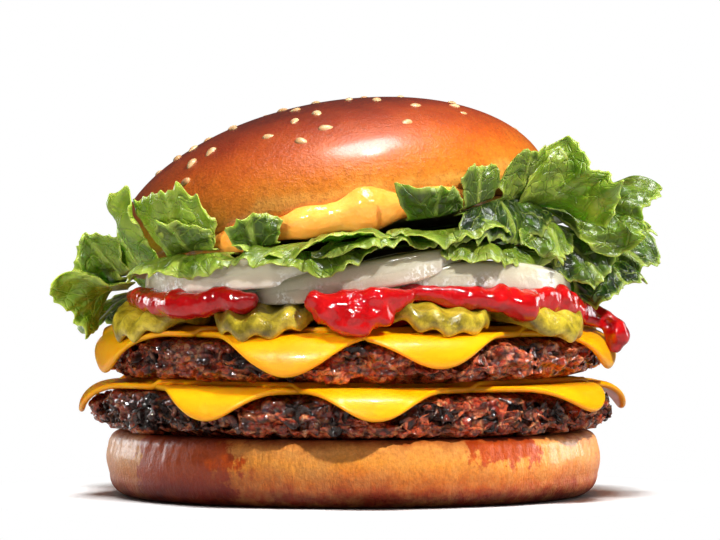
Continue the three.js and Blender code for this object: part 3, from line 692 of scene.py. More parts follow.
# %% Melted cheese
melted = Finish(
    "melted_cheese", Roughness=0.4, Coat_Weight=0.3, Coat_Roughness=0.06, Specular_IOR_Level=0.3,
    Subsurface_Weight=0.5, Subsurface_Scale=0.004, Subsurface_Radius=(1.0, 0.35, 0.05),
)
yellow = melted.ramp(melted.noise(16, 3), (0.3, (253, 158, 2)), (0.7, (254, 176, 5)))
melted.surface({"Base Color": yellow})
melted.bump(melted.noise(6, 2), 0.5, 0.6)
melted.bump(melted.noise(1.1, 3), 0.05, 0.6)

# %% Cheese shape
SLICE_HALF_SIDE = 50.5
SLICE_THICKNESS = 1.5
SLICE_FLAT = 30
REST = GAP + 0.15


def drape(size, radius, s, lift):
    """A point s mm from the middle along the top of a patty and down its side."""
    half = size["height"] / 2
    start = radius - size["rim"]
    bend = (half + size["rim"]) / 2
    turn = np.clip((s - start) / bend, 0, math.pi / 2)
    hang = np.maximum(0, s - start - bend * math.pi / 2)
    over = turn > 0
    out = np.where(over, start + (size["rim"] + lift) * np.sin(turn), s)
    top = size["base"] + size["height"] + lift
    up = np.where(over, size["base"] + half + (half + lift) * np.cos(turn), top)
    return out, up - hang


def slice_reach(turn, wave, angles):
    c, s = np.abs(np.cos(angles - turn)), np.abs(np.sin(angles - turn))
    return SLICE_HALF_SIDE * (c**9 + s**9) ** (-1 / 9) + wave(angles)


def cheese(name, size, turns):
    angles = full_circle(420)
    radius = size["radius"] + patty_outline(size)(angles)
    wave = unevenness(size["seed"] + 1, 1.2, [3, 5, 8])
    turns = [math.radians(turn) + math.pi / 4 for turn in turns]
    lower = slice_reach(turns[0], wave, angles)
    upper = slice_reach(turns[1], lambda a: wave(a) + 0.2 * np.sin(7 * a), angles)
    for order, own in enumerate((lower, upper)):
        droop = smooth_step(own - radius, -2, 10)
        edge = SLICE_THICKNESS * (0.5 + 0.12 * droop)
        tops, bottoms = [], []
        for share in np.linspace(0, 1, 28):
            s = SLICE_FLAT + (own - edge - SLICE_FLAT) * share**0.75
            covered = smooth_step(lower - s, -0.6, 1.8) if order else 0
            bottom = REST + covered * SLICE_THICKNESS * 0.8
            lift = bottom + 0.35 * (smooth_noise(s / 7, angles * 9, order + 3.5) - 0.5)
            near = smooth_step(share, 0.8, 1.0) * droop * 0.25
            bottoms.append(drape(size, radius, s, lift))
            tops.append(drape(size, radius, s, lift + SLICE_THICKNESS * (0.9 + near)))
        middle = bottom + SLICE_THICKNESS * 0.5
        rims = []
        for turn in np.radians((-60, -30, 0, 30, 60)):
            s = own - edge + edge * math.cos(turn)
            lift = middle + SLICE_THICKNESS * 0.5 * math.sin(turn)
            rims.append(drape(size, radius, s, lift))
        rings = round_rows(angles, bottoms + rims + tops[::-1])
        ring_piece(f"{name}_slice_{order + 1}", rings, melted, name)


cheese("cheese_lower", LOWER_PATTY, (-121, -85))
cheese("cheese_upper", UPPER_PATTY, (-104, -71))

# %% [markdown]
# ## The pickles
# Crinkle-cut slices of gherkin: wavy on both faces, with a darker skin round the rim and wet,
# slightly see-through flesh. A disc of rings is laid out first, then every point is lifted by
# the same wave on both faces, so that the slice keeps its thickness, as a real blade leaves it.

# %% Gherkin
gherkin = Finish(
    "gherkin", Roughness=0.3, Coat_Weight=0.5, Coat_Roughness=0.1,
    Subsurface_Weight=0.4, Subsurface_Scale=0.003, Subsurface_Radius=(0.9, 0.8, 0.2),
)
flesh = gherkin.ramp(
    gherkin.noise(3.6, 4, 0.6),
    (0.3, (120, 108, 20)), (0.5, (186, 168, 40)), (0.7, (226, 206, 70)),
)
skin = gherkin.ramp(
    gherkin.noise(3.4, 5, 0.65),
    (0.32, (104, 92, 22)), (0.46, (160, 142, 36)), (0.64, (212, 192, 58)),
)
gherkin.surface({"Base Color": gherkin.mix(gherkin.stored("skin"), flesh, skin)})
gherkin.bump(gherkin.noise(1.6, 3, 0.6), 0.25)
gherkin.bump(gherkin.noise(0.4, 2), 0.05)

# %% Pickle shape
PICKLE = {"radius": 13.2, "thickness": 4.4, "ridge": 0.7, "columns": 11}
PICKLES = table("azimuth radius z tilt roll ridges droop", (
    (-152, 48.5, 44.0, 5, -2, 20, 3.8),
    (-112, 48.6, 43.8, 4, 2, 12, 2.8),
    (-68, 48.6, 44.4, 4, -4, -8, 2.8),
    (-35, 49.5, 44.0, 5, -2, 25, 3.8),
    (25, 48.5, 43.8, 4, 0, 50, 2.6),
    (78, 48.0, 43.8, 4, 3, -30, 2.6),
    (160, 46.5, 43.6, 2, 0, 70, 2.4),
))


def pickle_profile(half):
    """Share of the radius, height and whether it is skin, from under the slice to its top."""
    face = np.linspace(0.08, 0.86, 12)
    profile = [(share, -half, 0) for share in face]
    steepest = math.radians(75)
    for turn in np.linspace(-steepest, steepest, 13):
        profile.append((0.9 + 0.1 * math.cos(turn), half * math.sin(turn) / math.sin(steepest), 1))
    profile += [(share, half, 0) for share in face[::-1]]
    return np.array(profile).T[..., None]


def pickle(number, spot):
    angles = full_circle(220)
    uneven = unevenness(60 + number, 0.3, [2, 3, 5])(angles)
    shares, heights, rim = pickle_profile(PICKLE["thickness"] / 2)
    ring_radius = shares * (PICKLE["radius"] + uneven)
    x, y = ring_radius * np.cos(angles), ring_radius * np.sin(angles)
    column = np.arcsin(np.clip(x / PICKLE["radius"], -1, 1)) / (math.pi / 2.12) + 1
    column = column * PICKLE["columns"] / 2
    drift = 0.9 * (smooth_noise(column * 0.45, number * 3.0, 0.5) - 0.5)
    size = 0.5 + 1.1 * smooth_noise(column * 0.6, number * 5.0, y / 20)
    wave = -PICKLE["ridge"] * size * np.cos(math.pi * (column + drift))
    turn = math.radians(spot["ridges"] + 90)
    outwards = x * math.cos(turn) - y * math.sin(turn)
    sideways = x * math.sin(turn) + y * math.cos(turn)
    sag = spot["droop"] * (np.maximum(0, outwards) / PICKLE["radius"]) ** 2
    wobble = 0.5 * (smooth_noise(outwards / 6 + number * 3, sideways / 6, 0.5) - 0.5)
    rings = np.stack([outwards, sideways, heights + wave - sag + wobble], -1)
    roll, tilt, azimuth = (math.radians(spot[key]) for key in ("roll", "tilt", "azimuth"))
    pose = np.array(Euler((roll, tilt, azimuth)).to_matrix())
    rings = rings @ pose.T + polar(spot["radius"], azimuth, spot["z"])
    piece = ring_piece(f"gherkin_{number}", rings, gherkin, f"pickle_{number}")
    store(piece, "skin", np.repeat(rim, len(angles)), 0, 0)


for number, spot in enumerate(PICKLES, 1):
    pickle(number, spot)

# %% [markdown]
# ## The onion
# Thick half rings of raw white onion. What shows is the smooth outer face of the ring: wet,
# greyish and a little see-through, with faint upright fibres. Its colour holds painted light: a
# painted highlight along the cut edge below, white painted glints over the lower half and
# painted shade near the top.

# %% Raw onion
raw_onion = Finish(
    "raw_onion", Roughness=0.2, Coat_Weight=0.5, Coat_Roughness=0.08,
    Subsurface_Weight=0.55, Subsurface_Scale=0.006, Subsurface_Radius=(1.0, 0.9, 0.7),
)
across = raw_onion.stored("across")
# Colour from the underside of the ring to its top: near white at the lower cut edge, a painted
# highlight, and darker near the top, painted shade.
pale = raw_onion.ramp(
    across, (0.0, (255, 250, 240)), (0.06, (214, 198, 184)), (0.3, (202, 188, 168)),
    (0.6, (208, 202, 178)), (0.88, (190, 184, 152)), (1.0, (214, 208, 184)),
)
fibres = raw_onion.node("ShaderNodeCombineXYZ", {
    "X": raw_onion.stored("along"), "Y": raw_onion.times(across, 0.06),
}).outputs[0]
fibre = raw_onion.node("ShaderNodeTexNoise", {"Vector": fibres, "Scale": 700.0, "Detail": 2.0})
fibre_lines = raw_onion.spread(fibre.outputs["Fac"], 0.45, 0.7, 0.0, 0.4)
pale = raw_onion.mix(fibre_lines, pale, (240, 234, 222))
# Painted glints: white specks in the colour over the lower half of the ring, which is also made
# rougher there.
frosted = raw_onion.times(raw_onion.spread(raw_onion.noise(7, 2), 0.46, 0.62),
                         raw_onion.spread(across, 0.2, 0.75, 1, 0))
frost = raw_onion.times(frosted, raw_onion.spread(raw_onion.noise(0.9, 3), 0.46, 0.58))
raw_onion.surface({"Base Color": raw_onion.mix(frost, pale, (255, 253, 250))})
raw_onion.surface({"Roughness": raw_onion.spread(frost, 0, 1, 0.16, 0.45)})
raw_onion.bump(fibre.outputs["Fac"], 0.06)
raw_onion.bump(raw_onion.noise(3.5, 2), 0.3)

# %% Onion shape
ONIONS = table("azimuth spread radius z rise sag thickness", (
    (-126, 29, 50.0, 52.2, 1.6, 1.0, 7.3),
    (-88, 26, 50.2, 51.8, 4.8, -0.4, 7.2),
    (-47, 31, 50.0, 52.0, -2.3, 3.2, 6.8),
    (48, 30, 49.0, 48.6, -1.2, 0.5, 6.0),
    (122, 32, 47.0, 45.4, -0.6, 0.5, 4.2),
))
SQUARENESS = 8
RING_DEPTH = 7.4


def onion_path(spot, t):
    """The middle line of a half ring, for t from -1 at one end to 1 at the other."""
    z = spot["z"] + spot["rise"] * t - spot["sag"] * t * t
    angle = np.radians(spot["azimuth"] + spot["spread"] * t)
    return polar(spot["radius"] - 2.5 * t * t, angle, z)


def onion(number, spot):
    steps, sides = 150, 96
    t = np.linspace(-1, 1, steps)
    centre = onion_path(spot, t)
    along = unit(onion_path(spot, t + 0.01) - onion_path(spot, t - 0.01))
    out = unit(centre * (1, 1, 0))
    out = unit(out - along * (out * along).sum(-1, keepdims=True))
    across = np.cross(along, out)
    taper = np.sqrt(np.maximum(0.004, 1 - 0.99 * np.minimum(1, np.abs(t)) ** 2.6))
    deep = RING_DEPTH * (0.55 + 0.45 * taper)
    tall = spot["thickness"] / 2 * taper
    turns = (np.arange(sides) + 0.5) / sides * TAU
    c, s = np.cos(turns), np.sin(turns)
    reach = (np.abs(c) ** SQUARENESS + np.abs(s) ** SQUARENESS) ** (-1 / SQUARENESS)
    dent = 1 + 0.03 * (smooth_noise(t[:, None] * 9, turns[None] * 1.5, number * 2.0) - 0.5)
    rings = (centre[:, None] + out[:, None] * (deep[:, None] * reach * c * dent)[..., None]
             + across[:, None] * (tall[:, None] * reach * s * dent)[..., None])
    piece = ring_piece(f"onion_ring_{number}", rings, raw_onion, f"onion_{number}")
    upright = np.sign(across[:, None, 2]) * reach * s * 0.5 + 0.5
    store(piece, "across", np.clip(upright, 0, 1), 0.5, 0.5)
    length = math.radians(spot["spread"]) * spot["radius"] * 0.01 * t
    store(piece, "along", np.repeat(length, sides), 0, 0)


for number, spot in enumerate(ONIONS, 1):
    onion(number, spot)

# %% [markdown]
# ## The ketchup
# A pool of ketchup is squeezed out between the pickles in fat shiny tongues. Its plain solid is
# already cut clear of the slices, so a copy of it is melted together with a voxel remesh,
# smoothed, and given slow swells.

# %% Ketchup
tomato = Finish(
    "ketchup", Roughness=0.12, Coat_Weight=0.6, Coat_Roughness=0.05, Specular_IOR_Level=0.35,
    Subsurface_Weight=0.25, Subsurface_Scale=0.0015, Subsurface_Radius=(1.0, 0.15, 0.08),
)
red = tomato.ramp(tomato.noise(5, 3), (0.3, (160, 8, 12)), (0.7, (194, 16, 20)))
tomato.surface({"Base Color": red})
tomato.bump(tomato.noise(4.0, 2), 0.9)
tomato.bump(tomato.noise(1.3, 2), 0.16)

# %% Round strokes melted into a copy of a plain solid
BALLS_PER_GAP = 6


def strokes_mesh(strokes):
    """Round strokes through [azimuth, radius, z, half thickness] points, as a chain of balls."""
    balls = bmesh.new()
    draw = seeded_random(8)
    for stroke in strokes:
        stations = np.arange(len(stroke))
        columns = np.array(stroke, dtype=float).T
        for step in np.linspace(0, stations[-1], BALLS_PER_GAP * stations[-1] + 1):
            azimuth, radius, z, half = (np.interp(step, stations, column) for column in columns)
            half *= 0.92 + 0.2 * next(draw)
            place = polar(radius, math.radians(azimuth), z + 0.6 * (next(draw) - 0.5)) * MM
            matrix = Matrix.Translation(place) @ Matrix.Scale(half * MM, 4)
            bmesh.ops.create_icosphere(balls, subdivisions=2, radius=1.0, matrix=matrix)
    return balls


def swell(mesh, waves):
    """Moves each point along its normal by a few noises of [size, depth] in millimetres."""
    points, normals = np.empty((2, 3 * len(mesh.vertices)))
    mesh.vertices.foreach_get("co", points)
    mesh.vertices.foreach_get("normal", normals)
    x, y, z = points.reshape(-1, 3).T / MM
    lift = sum(
        depth * (smooth_noise(x / size + 9, y / size, z / size) - 0.5) for size, depth in waves
    )
    moved = points.reshape(-1, 3) + normals.reshape(-1, 3) * (lift * MM)[:, None]
    mesh.vertices.foreach_set("co", moved.ravel())


def soft_copy(node, name, strokes, voxel_mm, rounds):
    """A copy of a plain solid melted together with round strokes, remeshed finely and smoothed."""
    joined = strokes_mesh(strokes)
    joined.from_mesh(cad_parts[node].data)
    bmesh.ops.remove_doubles(joined, verts=joined.verts, dist=1e-7)
    mesh = bpy.data.meshes.new(name)
    joined.to_mesh(mesh)
    joined.free()
    piece = add_object(name, mesh)
    remesh = piece.modifiers.new("remesh", "REMESH")
    remesh.mode = "VOXEL"
    remesh.voxel_size = voxel_mm * MM
    smooth = piece.modifiers.new("smooth", "SMOOTH")
    smooth.factor = 0.5
    smooth.iterations = rounds
    freeze(piece)
    swell(piece.data, ((5.0, 1.5), (2.4, 0.6)))
    return piece


print("balls between two stations of a stroke:", BALLS_PER_GAP)

# %% Ketchup strokes: azimuth, radius, height and half thickness of each station
KETCHUP_STROKES = [
    [(-160, 54, 46.6, 2.2), (-145, 56.5, 46.4, 3), (-131, 57.5, 45.6, 3.7), (-124, 57, 46, 3)],
    [(-122, 56, 47.0, 3.0), (-117, 56.5, 46.7, 2.8), (-113.5, 56, 46.4, 1.9)],
    [(-98, 58, 46.6, 2.8), (-92, 58.5, 45.4, 3.6), (-84, 58.5, 46.2, 3.4), (-77, 56.5, 48.0, 2.2)],
    [(-96, 59, 43.6, 3.0), (-89, 59.5, 42.8, 3.6), (-83, 59, 44.0, 2.8)],
    [(-93, 60.5, 41.2, 2.4), (-88, 60.5, 41.0, 2.6)],
    [(-78, 53, 48.6, 1.8), (-66, 54, 48.4, 2.6), (-56, 56.5, 47.0, 3.3), (-47, 58, 45.4, 3.7)],
    [(-44, 56, 46.8, 3.0), (-30, 56.5, 45.6, 3.4), (-18, 56.5, 43.4, 2.8)],
    [(-17, 57, 42.8, 2.2), (-14, 61, 40.2, 1.4), (-14, 63, 37.2, 1.8), (-14, 63, 36.0, 2.1)],
]
ketchup = soft_copy("ketchup", "ketchup_pool", KETCHUP_STROKES, 0.45, 14)
dress(ketchup, tomato, "ketchup")

# %% [markdown]
# ## The crown
# The top of the bun is egg-washed, so it shines: deep brown on top, where the oven is hottest,
# and golden towards its rim. It is turned like the heel, and its place and tilt are applied to
# the mesh. How high each point lies on the dome is stored for the crust's colours.

# %% Glazed crust
glazed = Finish(
    "glazed_crust", Roughness=0.45, Coat_Weight=0.6, Coat_Roughness=0.2,
    Subsurface_Weight=0.05, Subsurface_Scale=0.0015,
)
height = glazed.stored("height")
height = glazed.plus(height, glazed.spread(glazed.noise(12, 5), 0.25, 0.75, -0.08, 0.08))
crust = glazed.ramp(
    height, (0.0, (230, 158, 66)), (0.06, (220, 132, 36)), (0.24, (214, 112, 22)),
    (0.45, (196, 84, 14)), (0.66, (156, 52, 9)), (0.86, (112, 30, 6)), (1.0, (88, 22, 6)),
)
mottle = glazed.spread(glazed.noise(1.6, 4, 0.65), 0.42, 0.66, 0, 0.28)
crust = glazed.mix(mottle, crust, (146, 58, 16))
speckle = glazed.spread(glazed.noise(0.7, 3, 0.7), 0.5, 0.72, 0, 0.3)
crust = glazed.mix(speckle, crust, (84, 26, 10))
freckle = glazed.spread(glazed.noise(2.6, 4, 0.7), 0.58, 0.72, 0, 0.2)
glazed.surface({"Base Color": glazed.mix(freckle, crust, (96, 32, 14))})
glazed.bump(glazed.noise(0.7, 3, 0.6), 0.2)
glazed.bump(glazed.noise(3.5, 3, 0.5), 0.22)

# %% Crown shape
CROWN_MATRIX = (
    Matrix.Translation((CROWN_PLACE["x"], CROWN_PLACE["y"], CROWN_PLACE["z"]))
    @ Matrix.Rotation(-math.radians(CROWN_PLACE["front_tilt"]), 4, "X")
    @ Matrix.Rotation(-math.radians(CROWN_PLACE["side_tilt"]), 4, "Y")
)


def with_crown(points):
    """Moves points from the crown's own frame to their place on the burger."""
    matrix = np.array(CROWN_MATRIX)
    return points @ matrix[:3, :3].T + matrix[:3, 3]


angles = full_circle(420)
crown_radius = CROWN["radius"] + unevenness(CROWN["seed"], 0.5, [2, 3, 5])(angles)
lip, rise = CROWN["lip"], CROWN["rise"]
rows = [((crown_radius - lip) * share, -lip) for share in (0.5, 0.8)]
for turn in np.radians(np.linspace(90, 3, 22)):
    rows.append((crown_radius - lip * (1 - math.cos(turn)), -lip * math.sin(turn)))
for turn in np.radians(np.linspace(0, 88, 100)):
    rows.append((crown_radius * math.cos(turn), rise * math.sin(turn)))
rings = round_rows(angles, rows)
heights = rings[..., 2] / rise
uneven = smooth_noise(*(rings / 16).transpose(2, 0, 1)) - 0.5
rings *= (1 + 0.006 * uneven * smooth_step(heights, 0.0, 0.3))[..., None]
points, faces = closed_rings(rings)
crown = dress(shape("bun_crown", with_crown(points), faces), glazed, "crown")
store(crown, "height", heights, -0.1, 1)

# %% [markdown]
# ## The sesame seeds
# Seeds are scattered by hand, yet evenly. A golden-angle spiral spreads points over a dome with
# no clumps, and a little chance takes the pattern away. Python lays out those points with the
# turn and size of each seed, and a recipe puts a seed on every point and makes it real.

# %% Toasted seed
seed_skin = Finish(
    "sesame", Roughness=0.4, Coat_Weight=0.3, Subsurface_Weight=0.2, Subsurface_Scale=0.001,
)
toast = seed_skin.ramp(seed_skin.noise(2.2, 3), (0.3, (202, 152, 98)), (0.7, (236, 202, 154)))
seed_skin.surface({"Base Color": toast})
seed_skin.bump(seed_skin.noise(0.5, 2), 0.06)

# %% One seed, as a mesh to copy
def seed_mesh(rows=11, sides=14):
    turns = full_circle(sides)
    places = -np.cos(np.linspace(0.12, math.pi - 0.12, rows))[:, None]
    girth = np.sqrt(1 - places**2) * (1 + 0.3 * places)
    x = places * SEED["length"] / 2
    y = girth * np.cos(turns) * SEED["width"] / 2
    z = girth * np.sin(turns) * SEED["thickness"] / 2
    return closed_rings(np.stack(np.broadcast_arrays(x, y, z), -1))


points, faces = seed_mesh()
mesh = bpy.data.meshes.new("seed_pattern")
mesh.from_pydata((points * MM).tolist(), [], faces)
seed_pattern = bpy.data.objects.new("seed_pattern", mesh)
print("faces of one seed:", len(faces))

# %% Recipe that sets the seeds
sow = Recipe("sow", lean=0.12, material=None)
source = sow.node("GeometryNodeObjectInfo", {"Object": seed_pattern}).outputs["Geometry"]
to_points = sow.node("GeometryNodeMeshToPoints", {"Mesh": sow.given["Geometry"]}).outputs[0]
facing = sow.named("facing", "FLOAT_VECTOR")
upright = sow.node("FunctionNodeAlignRotationToVector", {"Vector": facing}, axis="Z").outputs[0]
lean = sow.node(
    "FunctionNodeRandomValue", {"Min": (-1, -1, 0), "Max": (1, 1, 0), "Seed": 3},
    data_type="FLOAT_VECTOR",
).outputs[0]
twist = sow.node("ShaderNodeCombineXYZ", {"Z": sow.named("twist")}).outputs[0]
spin = sow.vector("ADD", sow.scaled(lean, sow.given["lean"]), twist)
spin = sow.node("FunctionNodeEulerToRotation", {0: spin}).outputs[0]
pose = sow.node(
    "FunctionNodeRotateRotation", {"Rotation": upright, "Rotate By": spin}, rotation_space="LOCAL",
).outputs[0]
placed = sow.node("GeometryNodeInstanceOnPoints", {
    "Points": to_points, "Instance": source, "Rotation": pose, "Scale": sow.named("size"),
}).outputs[0]
sow.ends_in(placed, sow.given["material"])

# %% Sow them on the dome
GOLDEN_ANGLE = 2.39996
draw = seeded_random(SEED["seed"])
spots, facings, twists, sizes = [], [], [], []
for index in range(SEED["count"]):
    share = SEED["edge"] * math.sqrt((index + 0.5) / SEED["count"]) + (next(draw) - 0.5) * 0.07
    angle = index * GOLDEN_ANGLE + (next(draw) - 0.5) * 0.7
    lift = math.sqrt(1 - share * share)
    normal = unit(polar(share / CROWN["radius"], angle, lift / CROWN["rise"]))
    on_dome = polar(CROWN["radius"] * share, angle, CROWN["rise"] * lift)
    spots.append(on_dome - normal * SEED["sunk"])
    facings.append(np.array(CROWN_MATRIX)[:3, :3] @ normal)
    twists.append(next(draw) * TAU)
    sizes.append(0.9 + 0.2 * next(draw))
mesh = bpy.data.meshes.new("sesame_seeds")
mesh.from_pydata((with_crown(np.array(spots)) * MM).tolist(), [], [])
seeds = add_object("sesame_seeds", mesh)
store(seeds, "twist", twists)
store(seeds, "size", sizes)
facing_layer = mesh.attributes.new("facing", "FLOAT_VECTOR", "POINT")
facing_layer.data.foreach_set("vector", np.array(facings, dtype=np.float32).ravel())
cook(seeds, sow, material=seed_skin.material)
bpy.data.objects.remove(seed_pattern)
dress(seeds, seed_skin, "crown")

# %% [markdown]
# ## The sauce
# A thick pale-orange dressing is spread under the crown. In front it swells out past the bread
# in a wavy bead with one fat blob, where the weight of the crown presses it out. Its profile
# changes with the direction, so each ring of the turned shape is worked out from a few heights
# and then rounded by a smooth curve through them.

# %% Dressing
dressing = Finish(
    "dressing", Subsurface_Weight=0.4, Subsurface_Scale=0.003, Subsurface_Radius=(1.0, 0.55, 0.25),
)
orange = dressing.ramp(dressing.noise(8, 3), (0.3, (250, 154, 58)), (0.7, (255, 180, 86)))
# Painted shade: the underside of the spread is coloured a dull olive instead of orange; it is also
# made rougher.
under = dressing.stored("under")
dressing.surface({"Base Color": dressing.mix(under, orange, (176, 164, 72))})
dressing.surface({"Roughness": dressing.spread(under, 0, 1, 0.12, 0.95)})
dressing.bump(dressing.noise(2.6, 3), 0.35)
dressing.bump(dressing.noise(0.7, 2), 0.03)


# %% A smooth curve through rings
def rounded(rows, parts):
    """Rings on a smooth curve through the given ones."""
    rows = np.stack(rows)
    rings = [rows[0]]
    for index in range(len(rows) - 1):
        a, b = rows[max(index - 1, 0)], rows[index]
        c, d = rows[index + 1], rows[min(index + 2, len(rows) - 1)]
        for part in range(1, parts + 1):
            t = part / parts
            rings.append(0.5 * (2 * b + (c - a) * t + (2 * a - 5 * b + 4 * c - d) * t**2
                                + (3 * b - a - 3 * c + d) * t**3))
    return np.stack(rings)


print("rings from two rows in 8 parts:", len(rounded([np.zeros(3), np.ones(3)], 8)))

# %% Sauce shape
UNDER_RINGS = 12
angles = full_circle(720)
offset = turned(angles, -90)
front = np.exp(-((np.abs(offset) / math.radians(44)) ** 6))
blob = np.exp(-(((offset - math.radians(7)) / math.radians(9)) ** 2))
wave = unevenness(17, 1, [5, 9, 13])(angles)
ripple = 0.5 * (smooth_noise(angles * 16, 1.5, 0.5) - 0.5)
ripple = ripple + 0.25 * (smooth_noise(angles * 40, 2.5, 0.5) - 0.5)
lumps = np.sin(17 * angles + 1.5 * np.sin(4 * angles))
bead = front * (2.2 + 1.1 * wave + 1.9 * blob + 0.6 * lumps + 0.5 * np.sin(offset) + 0.8 * ripple)
top = -CROWN["lip"] - GAP - 0.05
edge = CROWN["radius"] - 7 + front * (6 + 0.6 * bead)
sauce_rows = [
    (edge - 24, top - 1.9),
    (edge - 9, top - 2.1),
    (edge - 2.5, top - 2.1 - 0.7 * bead),
    (edge - 0.4 + 0.2 * bead, top - 1.6 - 0.5 * bead),
    (edge + 0.55 * bead, top - 0.9 + 0.25 * bead),
    (edge + 0.2 * bead, top - 0.2 + 0.8 * bead),
    (edge - 1.2, top + bead),
    (edge - 4.5, top + 0.5 * bead),
    (edge - 9, top),
    (edge - 24, top),
]
sauce_rings = rounded([polar(radius, angles, z) for radius, z in sauce_rows], 8)
points, faces = closed_rings(sauce_rings)
sauce = dress(shape("dressing_spread", with_crown(points), faces), dressing, "sauce")
store(sauce, "under", np.repeat(np.arange(len(sauce_rings)) < UNDER_RINGS, len(angles)), 1, 0)

# %% [markdown]
# ## The lettuce
# Torn leaves of a loose head lie between the onion and the sauce. Held flat in there, they are
# free past the rim, where they bend up or hang down, twist until they show a face, and ruffle,
# since the margin of such a leaf is longer than its middle. A leaf is a sheet over two
# directions: along its rib and across it. A few numbers bend, twist and ruffle each one.

# %% Lettuce blade
blade = Finish(
    "lettuce_blade", Roughness=0.38, Coat_Weight=0.2, Coat_Roughness=0.2,
    Subsurface_Weight=0.35, Subsurface_Scale=0.0022, Subsurface_Radius=(0.55, 1.0, 0.15),
)
dark_green = blade.ramp(
    blade.noise(7, 4), (0.34, (14, 32, 4)), (0.5, (34, 60, 9)), (0.66, (74, 108, 20)),
)
light_green = blade.ramp(blade.noise(8, 3), (0.35, (116, 148, 26)), (0.66, (184, 204, 66)))
# Each leaf mixes the light and the dark green by its dark share from the table of leaves: partly
# the leaf's own tone, partly painted shade on leaves that lie in shade.
green = blade.mix(blade.stored("depth"), light_green, dark_green)
print("blade nodes before the veins:", len(blade.tree.nodes))

# %% Veins of the blade: a fine web, side veins at a slant, and the rib
VEIN_STEP_MM = 5.5
rib_side, rib_along = blade.stored("across_mm"), blade.stored("along_mm")
grain = blade.node("ShaderNodeCombineXYZ", {"X": rib_side, "Y": rib_along}).outputs[0]
web = blade.spread(blade.voronoi(grain, 0.42, "DISTANCE_TO_EDGE")[0], 0.0, 0.09, 1, 0)
bend = blade.noise(9, 2)
slant = blade.minus(rib_along, blade.times(blade.math("ABSOLUTE", rib_side), 0.9))
slant = blade.math("DIVIDE", blade.plus(slant, blade.times(bend, 5.0)), VEIN_STEP_MM)
side_vein = blade.math("ABSOLUTE", blade.minus(blade.math("FRACT", slant), 0.5))
side_vein = blade.spread(side_vein, 0.0, 0.065, 1, 0)
rib = blade.math("ABSOLUTE", blade.plus(rib_side, blade.times(bend, 1.2)))
vein = blade.math("MAXIMUM", blade.times(side_vein, 0.7), blade.spread(rib, 0.25, 1.1, 1, 0))
green = blade.mix(blade.times(web, 0.2), green, (140, 164, 56))
green = blade.mix(blade.times(vein, 0.5), green, (168, 188, 80))
blade.surface({"Base Color": blade.mix(blade.stored("margin"), green, (176, 196, 84))})
blade.bump(blade.minus(1.0, vein), 0.35)
blade.bump(blade.minus(1.0, web), 0.14)
blade.bump(blade.noise(2.4, 3), 0.5)
print("blade nodes with the veins:", len(blade.tree.nodes))

# %% Shaded blade, deep between the layers
shaded_blade = Finish("lettuce_shaded", Roughness=0.8, Specular_IOR_Level=0.1)
shade = shaded_blade.ramp(shaded_blade.noise(5, 3), (0.35, (24, 36, 8)), (0.65, (60, 84, 22)))
shaded_blade.surface({"Base Color": shade})

# %% Where the leaves can lie
CROWN_SLOPE = math.tan(math.radians(CROWN_PLACE["side_tilt"]))
CROWN_PITCH = math.tan(math.radians(CROWN_PLACE["front_tilt"]))


def under_crown(x, y):
    return CROWN_PLACE["z"] - CROWN["lip"] + (x - CROWN_PLACE["x"]) * CROWN_SLOPE - y * CROWN_PITCH


def wedge_height(radius, angle, level):
    """The wedge between the onion and the bun: level 0 is its floor and 1 its ceiling."""
    x, y = radius * np.cos(angle), radius * np.sin(angle)
    left_onion = 3.4 * np.exp(-((turned(angle, -130) / math.radians(24)) ** 2))
    left_onion = left_onion * smooth_step(radius, 42, 54)
    floor = 54.2 + 0.105 * np.minimum(x, 0) + 0.05 * np.maximum(x, 0) - 0.07 * y + left_onion
    from_front = np.abs(turned(angle, -90))
    beside = smooth_step(from_front, math.radians(22), math.radians(44))
    bead = 3.4 * (1 - beside) * smooth_step(radius, 38, 48)
    ceiling = under_crown(x, y) - 1.1 - 2.4 * (1 - smooth_step(radius, 38, 50)) - bead
    return floor + np.maximum(0.5, ceiling - floor) * level


def rim_radius(angle):
    """How far the bun and the sauce reach from the axis; past that a leaf is free."""
    x = CROWN_PLACE["x"]
    bun = x * np.cos(angle) + np.sqrt(CROWN["radius"] ** 2 - (x * np.sin(angle)) ** 2)
    return bun + 0.6 + 2.8 * np.maximum(0, -np.sin(angle)) ** 4


print("rim in front, from the axis:", round(float(rim_radius(math.radians(-90))), 1), "mm")


# %% The outline and the ruffles of a leaf
LEAF_TUCK = 4
LEAF_THICKNESS = 0.5
BLISTER_HEIGHT = 1.7


def points_out(value):
    """A wave with sharp crests and round valleys, as on a toothed margin."""
    return 0.5 - np.abs(np.sin(math.pi * value))


def leaf_length(leaf, number, u, v):
    """How far the leaf reaches at u, with its lobes and, near the margin, its teeth."""
    lobes = 1 - 0.35 * np.abs(u) ** 2.5 + leaf["slant"] * u
    lobes = lobes + 0.16 * points_out(0.8 * u + 0.37 * number)
    place = u * leaf["width"]
    patchy = 0.35 + 0.9 * smooth_noise(place / 9, number * 1.7, 0.5)
    teeth = 1.9 * points_out(0.075 * place + 0.5 * np.sin(place / 6 + number) + number)
    teeth = patchy * (teeth + 0.8 * points_out(0.21 * place + number)) * min(1, leaf["length"] / 15)
    return leaf["length"] * lobes + teeth * smooth_step(v, 0.4, 1)


def ruffle_height(leaf, number, across, free, angle):
    """Slow folds, tighter curls and a fine frill, each growing towards the margin."""
    near = np.minimum(1.1, free)
    angle = angle + 0.37 * leaf["shift"]
    folds = near**0.8 * np.sin(15 * angle + 1.4 * np.sin(2 * angle))
    curls = np.sin(across / 1.5 + 2.1 * number + 1.2 * np.sin(across / 3.4 + number) + 0.8 * free)
    frill = np.sin(across / 0.62 + 5 * number + 1.5 * np.sin(across / 2.1))
    return leaf["ruffle"] * (folds + 0.5 * curls * near**1.4 + 0.2 * frill * near**2.2)


print("a tooth stands out by up to:", points_out(0.0), "of its size")


